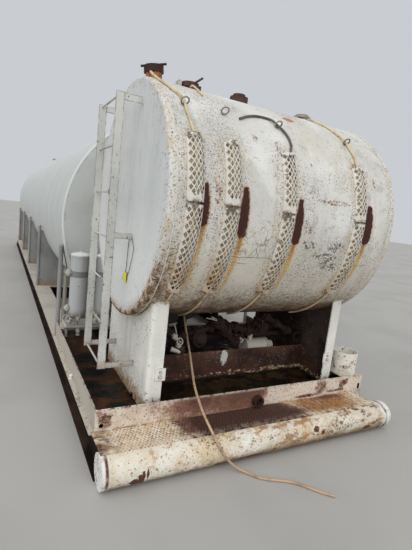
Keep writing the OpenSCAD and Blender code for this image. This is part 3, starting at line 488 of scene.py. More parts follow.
def make_head():
    m = Mat("head_paint", (207, 209, 207), 0.45)
    d = ((m.Y - TY) ** 2 + (m.Z - TZ) ** 2) ** 0.5
    run = m.noise(9, 5, 0.55, k=(1, 1, 0.05))
    m.paint((194, 198, 199), run.ramp(0.35, 0.65) * m.Y.ramp(-4.45, -5.5))
    m.paint((216, 217, 214), run.ramp(0.5, 0.72) * 0.8)
    m.paint((186, 190, 190), m.cloud(0.48, 0.72, 3.2, 6, 0.62, (1, 4, 0), k=(1, 1, 0.3)) * 0.8)
    m.paint((174, 176, 174), m.cloud(0.56, 0.72, 22, k=(1, 1, 0.25), off=(1, 1, 0)) * 0.5)
    m.paint((222, 224, 223), m.Z.ramp(1.75, 1.15) * 0.8)
    skirt = abs(m.X).ramp(0.93, 0.922)
    m.paint((216, 213, 204), skirt)
    band = (d + m.sway(6, 4) * 0.05).ramp(0.785, 0.835)
    m.paint((196, 180, 152), band * m.cloud(0.46, 0.62, 9, 6, 0.7, (0, 2, 2)) * 0.7, 0.75)
    low = m.Z.ramp(1.3, 0.95) * d.ramp(0.74, 0.825)
    front_low = m.Y.ramp(-5.15, -5.5) * m.Z.ramp(1.6, 1.25) * d.ramp(0.74, 0.82)
    foul = m.most(low, front_low) * m.X.ramp(0.2, -0.2, 0.3, 1)
    m.paint((168, 144, 110), foul * m.cloud(0.36, 0.6, 8, 5, 0.65) * 0.85, 0.8)
    patchy = foul + m.sway(13, 6, 0.72, (3, 3, 0)) * 2
    m.paint((140, 106, 72), patchy.ramp(0.72, 1) * foul.ramp(0.1, 0.5) * m.Z.ramp(1.4, 1, 0.6, 1), 0.85)
    m.paint((76, 54, 42), patchy.ramp(0.95, 1.2) * foul.ramp(0.1, 0.5) * m.Z.ramp(1.25, 0.92, 0.45, 1), 0.85)
    m.paint((206, 200, 188), m.chips(24, foul, 0.6, (6, 2, 4), 0.05) * m.Z.ramp(0.88, 1.05, 0, 0.85), 0.6)
    dense = m.most(d.ramp(0.66, 0.83, 0, 0.65), foul * 1.2, skirt * 0.7)
    m.paint((156, 122, 92), m.chips(32, dense, 0.672, (3, 0, 0), 0.04) * 0.6, 0.75)
    m.paint((76, 54, 42), m.chips(80, dense, 0.664, (1, 6, 0)) * 0.95, 0.8)
    m.paint((70, 58, 50), m.specks(58, dense * 0.25 + 0.03, 0.3) * 0.9, 0.8)
    m.paint((112, 110, 106), m.specks(30, 0.05, 0.22, (2, 2, 2), k=(1, 1, 0.6)) * 0.8, 0.8)
    m.paint(GRIME, m.corner(0.12).ramp(0.35, 0.9) * 0.4)
    return m.done(0.5, (0.004, 3, 3, 0.5))


# ------------------------------------------------------------------ long tank
def make_long(head):
    m = Mat("long_head_paint" if head else "long_paint", (190, 194, 192), 0.5)
    if not head:
        m.vec = m.comb(m.Y, m.op("ARCTAN2", m.Z - LZ, m.X) * LR)
    # the top is painted lighter as painted light from above; the same mask also gathers flakes and specks on the top
    top = m.Z.ramp(1.7, 2.5)
    k = (1, 1, 0.08) if head else (1, 0.07, 1)
    m.paint((176, 180, 176), m.cloud(0.42, 0.66, 4, 6, 0.62, k=k) * 0.6)
    m.paint((202, 206, 204), m.cloud(0.5, 0.72, 12, k=k, off=(3, 0, 0)) * 0.7)
    m.paint((168, 170, 164), m.cloud(0.52, 0.72, 26, 5, 0.65, (8, 0, 0), k=k) * 0.5)
    m.paint((208, 211, 209), top * 0.6)
    m.paint((136, 138, 128), m.cloud(0.6, 0.74, 14, 6, 0.65, (6, 0, 4), k=(1, 0.3, 1)) * 0.5, 0.7)
    cloud = m.cloud(0.45, 0.62, 1.6, 4, off=(2, 7, 0))
    m.paint((120, 120, 110), m.chips(60, m.most(top * 0.9, cloud * 0.4), 0.675) * 0.7)
    m.paint((134, 132, 122), m.specks(46, top * 0.25 + 0.04, 0.26) * 0.7)
    m.paint((96, 82, 70), m.Z.ramp(0.8, 0.25) * m.cloud(0.3, 0.6, 11, 5, 0.65) * 0.85, 0.8)
    if head:
        d = (m.X * m.X + (m.Z - LZ) ** 2) ** 0.5
        m.paint((198, 201, 198), 0.5)
        m.paint((182, 184, 181), m.cloud(0.4, 0.7, 2.2, off=(4, 0, 9)) * 0.9)
        m.paint((206, 208, 205), d.ramp(1.158, 1.172))
        m.paint((126, 110, 96), d.near(1.15, 0.012, 0.002) * m.cloud(0.4, 0.7, 9, 4, off=(0, 0, 7)) * 0.7)
        # painted shadow of the cross tank: a dark, ragged patch low on the middle of the front head
        wave = m.sway(5, 5, 0.65, (7, 0, 2))
        low = m.Z.ramp(1.35, 0.85) * abs(m.X).ramp(1.05, 0.75) + wave
        m.paint((44, 35, 30), low.ramp(0.3, 0.8) * m.Y.ramp(-1, -2) * 0.92, 0.9)
    return m.done(0.5, (0.005, 3.4, 4))


# ------------------------------------------------------------------ pan, tread, pipes, beams
def make_pan_wall():
    m = Mat("pan_wall_paint", (224, 209, 192), 0.6)
    m.paint((200, 180, 162), m.cloud(0.4, 0.7, 3))
    m.paint((224, 216, 204), m.cloud(0.48, 0.66, 12, 5, 0.65, (3, 0, 0)) * 0.9)
    side = m.Y.ramp(Y0 + 0.2498, Y0 + 0.2503)
    face = 1 - side
    n = m.sway(6, 6, 0.7, (0, 0, 3)) + m.sway(45, 4, 0.7, (0, 0, 8)) * 0.55
    span = m.X.ramp(-1.05, -0.3) * m.X.ramp(0.22, 0.02)
    mid = m.Z.ramp(0.22, 0.34) * 0.25 + span + n * 1.8
    m.paint((158, 120, 98), mid.ramp(0.3, 0.7) * face * 0.8, 0.75)
    m.paint((126, 88, 71), mid.ramp(0.62, 0.95) * face * 0.95, 0.8)
    m.paint((100, 68, 56), mid.ramp(1, 1.35) * face * 0.9, 0.85)
    for cx, cz, rx, rz in ((-1.13, 0.285, 0.045, 0.04), (-1.12, 0.245, 0.045, 0.03), (-1.165, 0.325, 0.02, 0.025),
            (0.7, 0.285, 0.06, 0.06), (0.945, 0.285, 0.045, 0.045), (0.985, 0.3, 0.03, 0.03),
            (0.55, 0.225, 0.12, 0.014), (0.88, 0.235, 0.1, 0.012)):
        b = m.blob(m.X, m.Z, cx, cz, rx, rz, 0.45, 24, 0.3) * face
        m.paint((140, 100, 78), b * 0.7, 0.8)
        m.paint((84, 52, 42), (b * 0.8 + m.sway(30, 6, 0.75, (cx, 0, 0)) * 1.6).ramp(0.6, 0.95), 0.85)
    m.paint((180, 173, 162), side)
    m.paint((160, 152, 140), side * m.cloud(0.45, 0.7, 5, k=(1, 0.5, 1), off=(8, 0, 0)) * 0.8)
    top = m.Z.ramp(0.328, 0.35)
    m.paint((206, 198, 184), top * face * 0.7)
    m.paint((110, 74, 56), top * m.cloud(0.5, 0.6, 20, 6, 0.7, (5, 5, 5)), 0.85)
    foot = m.Z.ramp(0.222, 0.2)
    m.paint((150, 110, 80), foot * face * m.cloud(0.4, 0.6, 14, 5, 0.7, (1, 5, 5)), 0.85)
    nx, ny, _ = m.parts(m.normal())
    # faces turned into the pan: rust brown with painted shade, darkest low down
    inner_stain_and_shade = m.most((nx * m.X).ramp(-0.3, -0.7), ny.ramp(0.4, 0.8))
    m.paint((66, 46, 36), inner_stain_and_shade * m.Z.ramp(0.36, 0.3, 0.75, 1), 0.75)
    dense = m.most(face * 0.8, top * 0.9, 0.25)
    m.paint((74, 52, 42), m.chips(70, dense, 0.675, (2, 1, 0)) * 0.9, 0.8)
    m.paint((66, 48, 40), m.specks(58, face * 0.2 + 0.06, 0.32) * 0.9, 0.8)
    return m.done(0.7, (0.0014, 50, 5, 0.65))


def make_tread(top):
    """The tread plate, and the raised lozenges on it, which keep more paint."""
    m = Mat("tread_top" if top else "tread_paint", (212, 190, 160), 0.62)
    x = m.X
    m.paint((228, 216, 196), m.cloud(0.42, 0.62, 16))
    right = x.ramp(0.22, 0.5) * x.ramp(1.02, 0.8)
    m.paint((174, 126, 78), right * m.cloud(0.2, 0.5, 7, off=(1, 1, 0)), 0.85)
    m.paint((126, 84, 52), right * m.cloud(0.46, 0.62, 18, 6, 0.7, (6, 1, 0)) * 0.85, 0.85)
    m.paint((96, 62, 42), m.blob(x, m.Y, 0.76, Y0 + 0.215, 0.16, 0.035, 0.3, 12, 0.5) * 0.85, 0.85)
    n = m.sway(5, 6, 0.65, (0, 3, 0))
    mid = abs(x + 0.16).ramp(0.66, 0.24) + n * 1.4
    m.paint((112, 78, 62), mid.ramp(0.2, 0.5) * (0.85 if top else 1), 0.75)
    m.paint((66, 42, 37), mid.ramp(0.45, 0.75) * (0.9 if top else 1), 0.75)
    edge = m.Y.ramp(Y0 + 0.07, Y0) * m.Y.ramp(Y0 + 0.5, Y0 + 0.4)
    if top:
        m.paint((226, 214, 196), m.cloud(0.42, 0.6, 30, 4, off=(0, 0, 9)) * (1 - mid.ramp(0.3, 0.6))
            * (right * -0.7 + 0.9))
        m.paint((216, 200, 178), edge * m.cloud(0.38, 0.52, 26, 4, off=(4, 0, 9)) * mid.ramp(0.4, 0.8, 0.9, 0.3))
    else:
        cell = m.op("SINE", x * 261.8) * m.op("SINE", m.Y * 139.6)   # in step with every second lozenge
        pits = (cell + m.sway(30, 4, 0.65, (2, 0, 0)) * 2.6).ramp(0.05, 0.4)
        m.paint((82, 54, 41), pits * x.ramp(-1.15, -1.06) * m.cloud(0.22, 0.5, 3, 4, off=(0, 0, 5)) * 0.92, 0.8)
        m.paint((216, 200, 176), edge * m.cloud(0.45, 0.58, 22, 5, 0.65, (4, 0, 2)) * mid.ramp(0.4, 0.8, 0.8, 0.25))
    corner = x.ramp(-1.05, -1.17) * m.cloud(0.35, 0.6, 12, 4)
    m.paint((112, 76, 54), corner * 0.85, 0.85)
    m.paint((74, 50, 40), corner * m.cloud(0.46, 0.58, 26, 5, 0.65, (1, 0, 6)), 0.85)
    m.paint((60, 40, 34), m.specks(70, 0.25, 0.3) * 0.9, 0.8)
    return m.done(0.7, (0.0012, 60, 5, 0.65))


def make_pipe():
    m = Mat("pipe_paint", (222, 215, 199), 0.55)
    m.paint((234, 230, 220), m.cloud(0.42, 0.66, 4))
    far = m.X.ramp(-0.75, -0.1)
    m.paint((208, 186, 148), m.cloud(0.44, 0.64, 3.2, 6, 0.65, (2, 1, 0), k=(1, 0.6, 0.6)) * 0.8)
    m.paint((204, 174, 124), m.chips(8, far, 0.62, (4, 1, 8), 0.14, k=(1, 0.6, 0.6)) * 0.6)
    m.paint((160, 112, 66), m.chips(15, far, 0.655, (4, 6, 8), 0.07, k=(0.5, 1, 1)) * 0.85, 0.8)
    m.paint((186, 140, 82), m.cloud(0.55, 0.66, 7.5, 6, 0.72, (7, 1, 3), k=(1, 0.7, 0.7)) * m.Z.ramp(0.06, 0.15)
        * 0.75, 0.75)
    m.paint((120, 78, 46), m.cloud(0.575, 0.63, 19, 6, 0.74, (2, 6, 3))
        * m.cloud(0.42, 0.6, 2.1, 3, 0.5, (6, 1, 0)) * 0.9, 0.8)
    # lower half darker: painted shade from the ground below, a little more on the far part
    painted_shade_low = far * 0.3 + m.Z.ramp(0.145, 0.01) + m.sway(9, 6, 0.68, (1, 4, 3))
    m.paint((150, 134, 110), painted_shade_low.ramp(0.45, 0.85) * 0.85, 0.8)
    m.paint((104, 88, 68), painted_shade_low.ramp(0.8, 1.1) * 0.9, 0.85)
    m.paint((80, 60, 44), m.cloud(0.56, 0.61, 26, 6, 0.72, (5, 2, 3), k=(0.5, 1, 1)) * m.Z.ramp(0.11, 0.05)
        * 0.85, 0.85)
    old = far * m.cloud(0.4, 0.6, 5, 6, 0.7, (8, 3, 3), k=(0.6, 1, 1))
    m.paint((150, 124, 94), old * m.Z.ramp(0.15, 0.06, 0.25, 0.7), 0.8)
    m.paint((88, 68, 50), far * m.chips(20, old, 0.66, (2, 9, 8), 0.04, k=(0.6, 1, 1)) * 0.9, 0.85)
    for cx, cz, rx, rz in ((-1.02, 0.06, 0.035, 0.03), (-0.97, 0.085, 0.012, 0.045), (-0.945, 0.1, 0.008, 0.04),
            (-0.99, 0.075, 0.015, 0.035), (-0.2, 0.055, 0.11, 0.01), (-0.45, 0.05, 0.05, 0.008),
            (0.36, 0.15, 0.03, 0.02), (0.42, 0.12, 0.02, 0.02), (0.9, 0.08, 0.05, 0.02)):
        b = m.blob(m.X, m.Z, cx, cz, rx, rz, 0.45, 34, 0.35)
        m.paint((92, 58, 40), (b + m.sway(40, 5, 0.7, (cx, 0, 0))).ramp(0.5, 0.8), 0.85)
    ends = m.most(m.X.ramp(-1.16, -1.18), m.X.ramp(1.06, 1.12))
    m.paint((230, 229, 224), ends * 0.85)
    joint = m.most(abs(m.X + 1.182).ramp(0.014, 0.004), m.X.near(1.128, 0.02, 0.005))
    m.paint((110, 72, 48), joint * m.cloud(0.3, 0.6, 14, 4, off=(4, 4, 4)), 0.85)
    cloud = m.cloud(0.4, 0.62, 3, 4, 0.55, (9, 9, 0))
    dense = m.most(cloud * 0.9, 0.35)
    m.paint((140, 108, 76), m.chips(34, dense, 0.655, (3, 0, 0), 0.03) * 0.75, 0.75)
    m.paint((84, 60, 44), m.chips(60, dense, 0.665, (1, 6, 0)) * 0.95, 0.8)
    m.paint((58, 44, 34), m.chips(120, dense, 0.67, (1, 2, 8)) * 0.95, 0.8)
    m.paint((58, 44, 34), m.specks(60, cloud * 0.3 + 0.1, 0.3) * 0.92, 0.8)
    return m.done(0.7, (0.0014, 50, 5, 0.65))


def make_beam():
    m = Mat("beam_paint", (34, 21, 17), 0.85, spec=0.15)
    m.paint((24, 15, 13), m.cloud(0.4, 0.65, 4, k=(1, 0.3, 1)))
    m.paint((66, 42, 33), m.cloud(0.56, 0.72, 17, 6, 0.75, (2, 2, 0), k=(1, 0.4, 1)) * 0.5)
    m.paint((88, 66, 50), m.Z.ramp(0.03, 0.008) * m.cloud(0.42, 0.7, 7, 5, 0.65, (2, 9, 0), k=(1, 0.3, 1)) * 0.5, 0.85)
    edge = m.Z.ramp(0.178, 0.186) + m.sway(12, 4, off=(0, 0, 4))
    m.paint((190, 184, 170), edge.ramp(0.66, 0.9), 0.65)
    m.paint((104, 84, 66), m.Z.ramp(0.19, 0.194) * m.cloud(0.55, 0.62, 24, 5, 0.7, (6, 0, 0)) * 0.8)
    m.paint((54, 40, 34), m.specks(44, 0.3, 0.33) * 0.8)
    return m.done(0.8, (0.002, 40, 6, 0.7))


def make_sump():
    """The upright plate between the saddles, with a tide line of flakes and one blot of white paint."""
    m = Mat("sump_rust", (76, 50, 39), 0.62)
    m.paint((46, 29, 25), m.cloud(0.38, 0.66, 3.4))
    m.paint((104, 72, 54), m.cloud(0.54, 0.7, 13, 6, 0.7, (2, 2, 0)) * 0.8)
    m.paint((108, 74, 54), m.Z.ramp(0.4, 0.49) * m.cloud(0.35, 0.6, 5, off=(2, 5, 0)) * 0.6)
    m.paint((212, 210, 204), (m.blob(m.X, m.Z, -0.012, 0.432, 0.034, 0.072, 0.3, 16, 0.7) + m.sway(60, 6, 0.75)
        * 3).ramp(0.5, 0.6), 0.5)
    m.paint((206, 202, 194), abs(m.X + 0.02).ramp(0.006, 0.002) * m.Z.ramp(0.34, 0.38) * m.cloud(0.45, 0.5, 30, 3))
    m.paint((186, 180, 168), m.specks(40, abs(m.X - 0.05).ramp(0.55, 0.1, 0.03, 0.28), 0.24) * 0.85)
    tide = m.Z.near(0.282, 0.042, 0.006) * m.X.ramp(-0.9, 0.4, 0.35, 1.1)
    m.paint((160, 124, 88), m.chips(22, tide, 0.645, (0, 5, 0), 0.04, k=(0.6, 1, 1)) * 0.9, 0.8)
    m.paint((206, 190, 162), m.chips(40, tide, 0.665, (3, 5, 0), k=(0.6, 1, 1)) * 0.9, 0.8)
    m.paint((190, 184, 174), m.chips(90, m.cloud(0.42, 0.6, 4, 4, off=(6, 0, 2)), 0.7, (9, 2, 0)) * 0.85, 0.7)
    m.paint((24, 20, 14), m.Z.ramp(0.275, 0.25) * 0.9, 0.35)
    return m.done(0.7, (0.0016, 60, 6, 0.7))


def make_pan_floor():
    m = Mat("pan_sludge", (40, 32, 26), 0.35, spec=0.5)
    m.paint((66, 48, 34), m.cloud(0.45, 0.65, 5, 6, 0.65), 0.6)
    m.paint((18, 16, 15), m.cloud(0.55, 0.68, 3.2, off=(5, 5, 0)), 0.15)
    return m.done(0.7, (0.004, 26, 6, 0.7))


def make_water():
    """Dark rain water with oil and silt: still, with shallow muddy places, black oily blots and painted shade further
    back.
    """
    m = Mat("pan_water", (24, 19, 13), 0.16, spec=0.08)
    left = m.X.ramp(-0.8, -0.86)
    mud = m.most(m.cloud(0.5, 0.6, 3.4, 6, 0.62), left * 0.85)
    # further back, under the tank, the water is painted near black: painted shade
    behind = m.Y.ramp(-5.12, -5.06) * (1 - left)
    m.paint((56, 37, 24), mud, 0.7)
    m.paint((16, 12, 10), behind, 0.9)
    m.paint((84, 54, 32), mud * m.cloud(0.46, 0.64, 7, 5, 0.65, (1, 1, 0)) * 0.75, 0.75)
    for cx, cy, rx, ry in ((-0.98, -5.34, 0.07, 0.05), (-1.03, -5.14, 0.1, 0.06), (-0.92, -5.44, 0.05, 0.03),
            (-1.1, -4.98, 0.06, 0.07), (-1.02, -4.75, 0.12, 0.1), (-1.04, -4.45, 0.12, 0.12)):
        m.paint((8, 8, 9), m.blob(m.X, m.Y, cx, cy, rx, ry, 0.35, 14, 0.4), 0.3)
    m.paint((14, 12, 11), m.cloud(0.56, 0.64, 6, off=(3, 3, 0)) * 0.9, 0.22)
    m.paint((58, 52, 30), m.Y.ramp(-5.42, -5.12) * (1 - left) * m.cloud(0.42, 0.58, 6, 5, 0.65)
        * m.Y.ramp(-5, -5.1) * 0.7, 0.4)
    m.paint((150, 144, 130), m.specks(46, 0.05, 0.16, (2, 4, 0)) * left, 0.6)
    m.raise_(mud * m.noise(40, 5, 0.65), 0.006)
    return m.done(0.6, fine=0.00005)


def make_guard():
    m = Mat("guard_paint", (213, 210, 201), 0.55)
    low = m.Z.ramp(1.75, 1.12)
    m.paint((196, 178, 148), m.cloud(0.42, 0.62, 5) * (low * 0.65 + 0.15), 0.75)
    m.paint((120, 88, 62), m.cloud(0.58, 0.65, 15, 5, 0.68, (3, 3, 0)) * (low * 0.5 + 0.45), 0.85)
    m.paint((70, 50, 40), m.cloud(0.62, 0.67, 30, 4, 0.68, (1, 7, 0)) * 0.9, 0.85)
    foot = m.Z.ramp(1.4, 1.14) * m.X.ramp(0.2, -0.5, 0.45, 1)
    m.paint((158, 112, 66), foot * m.cloud(0.44, 0.58, 11, 5, 0.65, (6, 2, 2)) * 0.85, 0.85)
    band = m.most(m.Z.near(1.668, 0.04, 0.012), m.Z.near(2.065, 0.045, 0.015))
    m.paint((84, 62, 48), band * m.cloud(0.44, 0.56, 24, 5, 0.65, (5, 1, 3)) * 0.9, 0.85)
    return m.done(0.6)


def make_saddle():
    """Bent white plates, stained dark brown and darkened with painted shade on the faces turned to each other."""
    m = Mat("saddle_paint", (229, 228, 221), 0.48)
    m.paint((208, 207, 200), m.cloud(0.42, 0.7, 1.7))
    run = m.noise(9, k=(1, 1, 0.1))
    m.paint((180, 172, 158), run.ramp(0.5, 0.75) * 0.6)
    low = m.Z.ramp(0.54, 0.2) + m.sway(14, 6, 0.68)
    m.paint((170, 142, 110), low.ramp(0.44, 0.85) * 0.85, 0.8)
    m.paint((74, 54, 42), low.ramp(0.9, 1.15) * 0.9, 0.85)
    up = m.Z.ramp(0.93, 1.06) + m.sway(12, 5, 0.65, (4, 4, 0))
    m.paint((150, 124, 98), up.ramp(0.6, 1) * 0.6, 0.8)
    edge = m.edge(0.008) * m.cloud(0.42, 0.58, 20, 6, 0.7, (1, 2, 9))
    m.paint((104, 74, 54), edge * 0.8, 0.85)
    nx, ny, _ = m.parts(m.normal())
    inner_stain_and_shade = m.most((nx * m.X).ramp(-0.1, -0.5), ny.ramp(0.3, 0.7) * m.Y.ramp(-5.3, -5.4))
    inner_stain_and_shade = inner_stain_and_shade * abs(m.X).ramp(0.755, 0.775)
    # faces turned to each other and to the back: brown stain, painted near black as painted shade under the tank
    m.paint((52, 35, 28), inner_stain_and_shade * 0.96, 0.85)
    m.paint((30, 21, 18), inner_stain_and_shade * m.cloud(0.4, 0.6, 3, off=(5, 0, 1)) * 0.9, 0.85)
    m.paint((134, 112, 92), inner_stain_and_shade * m.cloud(0.62, 0.72, 6, 5, 0.65, (5, 2, 1)) * 0.7, 0.8)
    dense = m.most(m.Z.ramp(0.5, 0.25), m.Z.ramp(0.95, 1.05) * 0.7, m.cloud(0.42, 0.62, 2.4, 4, off=(8, 0, 0)) * 0.6)
    m.paint((140, 108, 80), m.chips(30, dense, 0.66, (3, 0, 0), 0.03) * 0.7, 0.75)
    m.paint((80, 58, 46), m.chips(55, dense, 0.668, (1, 6, 0)) * 0.95, 0.8)
    m.paint((62, 48, 40), m.specks(56, dense * 0.22 + 0.05, 0.3) * 0.9, 0.8)
    return m.done(0.6, (0.001, 40, 5, 0.65))


def make_socket():
    """The open post socket: white, with rust coming through at its rim and its foot."""
    m = Mat("socket_paint", (226, 221, 211), 0.5)
    m.paint((192, 184, 170), m.cloud(0.42, 0.7, 5))
    rim = m.most(m.Z.ramp(0.372, 0.386), m.Z.ramp(0.225, 0.205))
    m.paint((150, 116, 90), m.chips(16, rim, 0.68, (5, 0, 0), 0.05) * 0.7, 0.8)
    m.paint((78, 52, 42), m.chips(26, rim, 0.7, (1, 3, 0)), 0.85)
    m.paint((70, 50, 42), m.specks(20, 0.07, 0.2, (7, 1, 2)) * 0.95, 0.85)
    m.paint((82, 66, 56), m.specks(60, 0.2, 0.3) * 0.9, 0.8)
    return m.done(0.6, (0.0008, 60, 5, 0.65))


def make_neck():
    """Short pipes: the one by the left head is orange rust, the others keep some paint."""
    m = Mat("neck_paint", (206, 196, 176), 0.6)
    m.paint((168, 118, 78), m.cloud(0.46, 0.6, 14, 6, 0.7), 0.8)
    m.paint((92, 54, 40), m.cloud(0.52, 0.62, 30, 6, 0.7, (4, 0, 0)), 0.85)
    first = m.X.ramp(-0.66, -0.7)
    m.paint((176, 104, 62), first * 0.9, 0.8)
    m.paint((96, 52, 38), first * m.cloud(0.48, 0.58, 22, 6, 0.7, (1, 0, 7)), 0.85)
    return m.done(0.8, (0.0018, 60, 6, 0.7))


def make_plastic(name, base, dirt, rough=0.35):
    m = Mat(name, base, rough, spec=0.5)
    m.paint(shade(base, 0.78), m.cloud(0.45, 0.7, 14, 4))
    m.paint(dirt, m.cloud(0.56, 0.68, 32, 4, 0.65, (3, 1, 0)) * 0.7, 0.7)
    return m.done(0.4)


def make_filter():
    m = Mat("filter_paint", (176, 178, 178), 0.45)
    m.paint((150, 152, 152), m.cloud(0.45, 0.7, 6, 4, k=(1, 1, 0.1)) * 0.8)
    m.paint((122, 124, 126), m.Z.ramp(0.86, 0.864) * m.Z.ramp(0.924, 0.92), 0.5)
    m.paint((100, 86, 72), m.Z.ramp(0.55, 0.47) * m.cloud(0.35, 0.6, 18) * 0.8, 0.8)
    m.paint((90, 78, 68), m.specks(40, 0.08, 0.28) * 0.8)
    return m.done(0.5)


MATS = {
    "white": steel_paint("white_steel", (222, 220, 212), 0.22, 0.45, 0.45, low=(0.2, 0.55)),
    "ladder": steel_paint("ladder_paint", (208, 208, 203), 0.6, 0.6, 0.5, 0.012, (0.43, 0.66)),
    "cream": steel_paint("cream_steel", (196, 190, 178), 0.4, 0.5, 0.6),
    "grey": steel_paint("grey_steel", (146, 147, 145), 0.3, 0.6, 0.5, low=(0.2, 0.46)),
    "lid": steel_paint("lid_paint", (232, 232, 228), 0.08, 0.2, 0.4),
    "rung": steel_paint("rung_paint", (200, 198, 190), 1.3, 0.8, 0.5, 0.012, spot=(46, 38, 34)),
    "fitting": steel_paint("fitting_paint", (190, 187, 178), 0.35, 0.45, 0.5),
    "barrel": steel_paint("barrel_paint", (186, 180, 168), 0.95, 0.7, 0.55),
    "lug": steel_paint("lug_paint", (196, 194, 186), 1, 0.6, 0.55),
    "steel": steel_paint("dull_steel", (150, 146, 136), 0.7, 0.6, 0.45),
    "iron": rusty("rusty_iron", (62, 36, 29), (116, 78, 54)),
    # outlets, valves, header and pump stand: rust, painted darker as painted shade under the tank
    "brown": rusty("rust_brown", (46, 29, 24), (78, 54, 40)),
    "cap": rusty("cap_rust", (80, 56, 48), (156, 126, 108), spots=(206, 194, 172)),
    "wire": rusty("wire_iron", (84, 76, 68), (120, 104, 88)),
    "tube": make_plastic("tube_plastic", (212, 193, 156), (124, 98, 70)),
    "dark_hose": make_plastic("dark_hose", (92, 84, 72), (50, 44, 38)),
    "hose": make_plastic("hose_skin", (186, 158, 128), (120, 92, 66), 0.5),
    "yellow": make_plastic("yellow_tag", (236, 226, 40), (150, 140, 40), 0.4),
    "shell": make_shell(), "head": make_head(), "long": make_long(False), "long_head": make_long(True),
    "pan": make_pan_wall(), "tread": make_tread(False), "lozenge": make_tread(True), "pipe": make_pipe(),
    "saddle": make_saddle(), "beam": make_beam(), "sump": make_sump(), "floor": make_pan_floor(),
    "water": make_water(), "guard": make_guard(), "filter": make_filter(), "socket": make_socket(),
    "neck": make_neck(),
}
WEAR = {
    "beam": "skid_beams skid_cross_beams", "pipe": "front_pipe rear_pipe pipe_end_plates",
    "tread": "tread_plate rear_tread_plate", "pan": "pan_front_wall pan_side_walls", "floor": "pan_floor",
    "iron": "drain_coupling fill_cap_1", "cream": "corner_plate deck_strips", "socket": "post_socket",
    "sump": "sump_plate", "saddle": "saddle_left saddle_right", "shell": "tank_shell",
    "head": "tank_head_left tank_head_right", "neck": "fill_necks", "cap": "fill_cap_2 fill_cap_3",
    "steel": "fill_cap_4 tube_rings level_gauge", "guard": "guard_1 guard_2 guard_3 guard_4", "tube": "sight_tubes",
    "ladder": "ladder_rails ladder_brackets", "rung": "ladder_rungs",
    "brown": "outlet_stubs outlet_valves outlet_header pump_stand", "barrel": "pump", "long": "long_shell",
    "long_head": "long_head_front long_head_back", "grey": "long_saddles side_posts long_vent",
    "filter": "filter_housings", "lid": "filter_lids", "fitting": "filter_manifolds filter_valves",
}
for key, names in WEAR.items():
    for name in names.split():
        NODES[name].data.materials.clear()
        NODES[name].data.materials.append(MATS[key])


# ------------------------------------------------------------------ loose hose
ROUTE = (   # from below the tank over the pan, the tread plate and the front pipe to the ground
    (-390, 790, 790), (-393, 755, 740), (-400, 690, 670), (-412, 610, 600), (-430, 520, 535), (-452, 430, 476),
    (-474, 340, 420), (-492, 250, 379), (-505, 160, 346), (-512, 80, 312), (-508, 0, 272), (-496, -60, 228),
    (-470, -105, 172), (-430, -130, 110), (-385, -140, 62), (-340, -150, 28), (-300, -175, 12), (-262, -225, 9),
    (-215, -268, 9), (-160, -300, 9), (-100, -330, 9), (-40, -375, 9), (10, -435, 9), (60, -495, 9), (114, -549, 9))
line = curve(ROUTE)
b = Batch()
b.tube(line, 0.0085, 14)
hose = b.make("loose_hose_skin", MATS["hose"], "hose", replaces=("loose_hose",))
round(sum((p - q).length for p, q in zip(line, line[1:])), 3)


# ------------------------------------------------------------------ tread pattern
def lozenges(name, sign, y_axis, columns=91, rows=11):
    """Rows of raised lozenges on a sloping tread plate, each turned the other way from the next."""
    b = Batch()
    pitch_x, pitch_y, left, edge = 0.024, 0.0225, -1.125, 0.005
    plate, fall = 0.216, 0.015 / 0.244   # height of its edge at the pipe, and its fall towards the pan
    half, wide, high, sunk = 0.01, 0.0029, 0.0022, 0.0003
    flat = [(s * p * half, s * q * wide) for s in (1, -1) for p, q in ((1, 0), (0.45, 1), (-0.45, 1))]
    for i in range(columns):
        for j in range(rows):
            x, d = left + i * pitch_x + (pitch_x / 2 if j % 2 else 0), edge + j * pitch_y
            a = math.radians(45 if (i + j) % 2 else -45) + rng.uniform(-0.04, 0.04)
            along, across = Vector((math.cos(a), math.sin(a), 0)), Vector((-math.sin(a), math.cos(a), 0))
            foot = Vector((x, d, plate - d * fall - sunk))
            top = foot + Vector((0, 0, sunk + high))
            v = [foot + along * p + across * q for p, q in flat]
            v += [top + along * (p * 0.55) + across * (q * 0.45) for p, q in flat]
            v = [(p.x, y_axis + sign * p.y, p.z - (p.y - d) * fall) for p in v]
            f = [(k, (k + 1) % 6, 6 + (k + 1) % 6, 6 + k) for k in range(6)] + [(6, 7, 8, 9, 10, 11)]
            b.add(v, f if sign > 0 else [tuple(reversed(q)) for q in f])
    b.make(name, MATS["lozenge"], "tread_rust")


lozenges("tread_pattern", 1, Y0)
lozenges("rear_tread_pattern", -1, -Y0)


# ------------------------------------------------------------------ weld beads
def bead(b, pts, r, closed=False):
    """A thin weld of uneven thickness."""
    b.tube(pts, [r * (0.75 + 0.5 * rng.random()) for _ in pts], 6, closed)


def belly(y):
    """Height of the cross tank's underside at y behind the front pipe's axis."""
    return TZ - math.sqrt(TR ** 2 - (y - AXIS) ** 2)


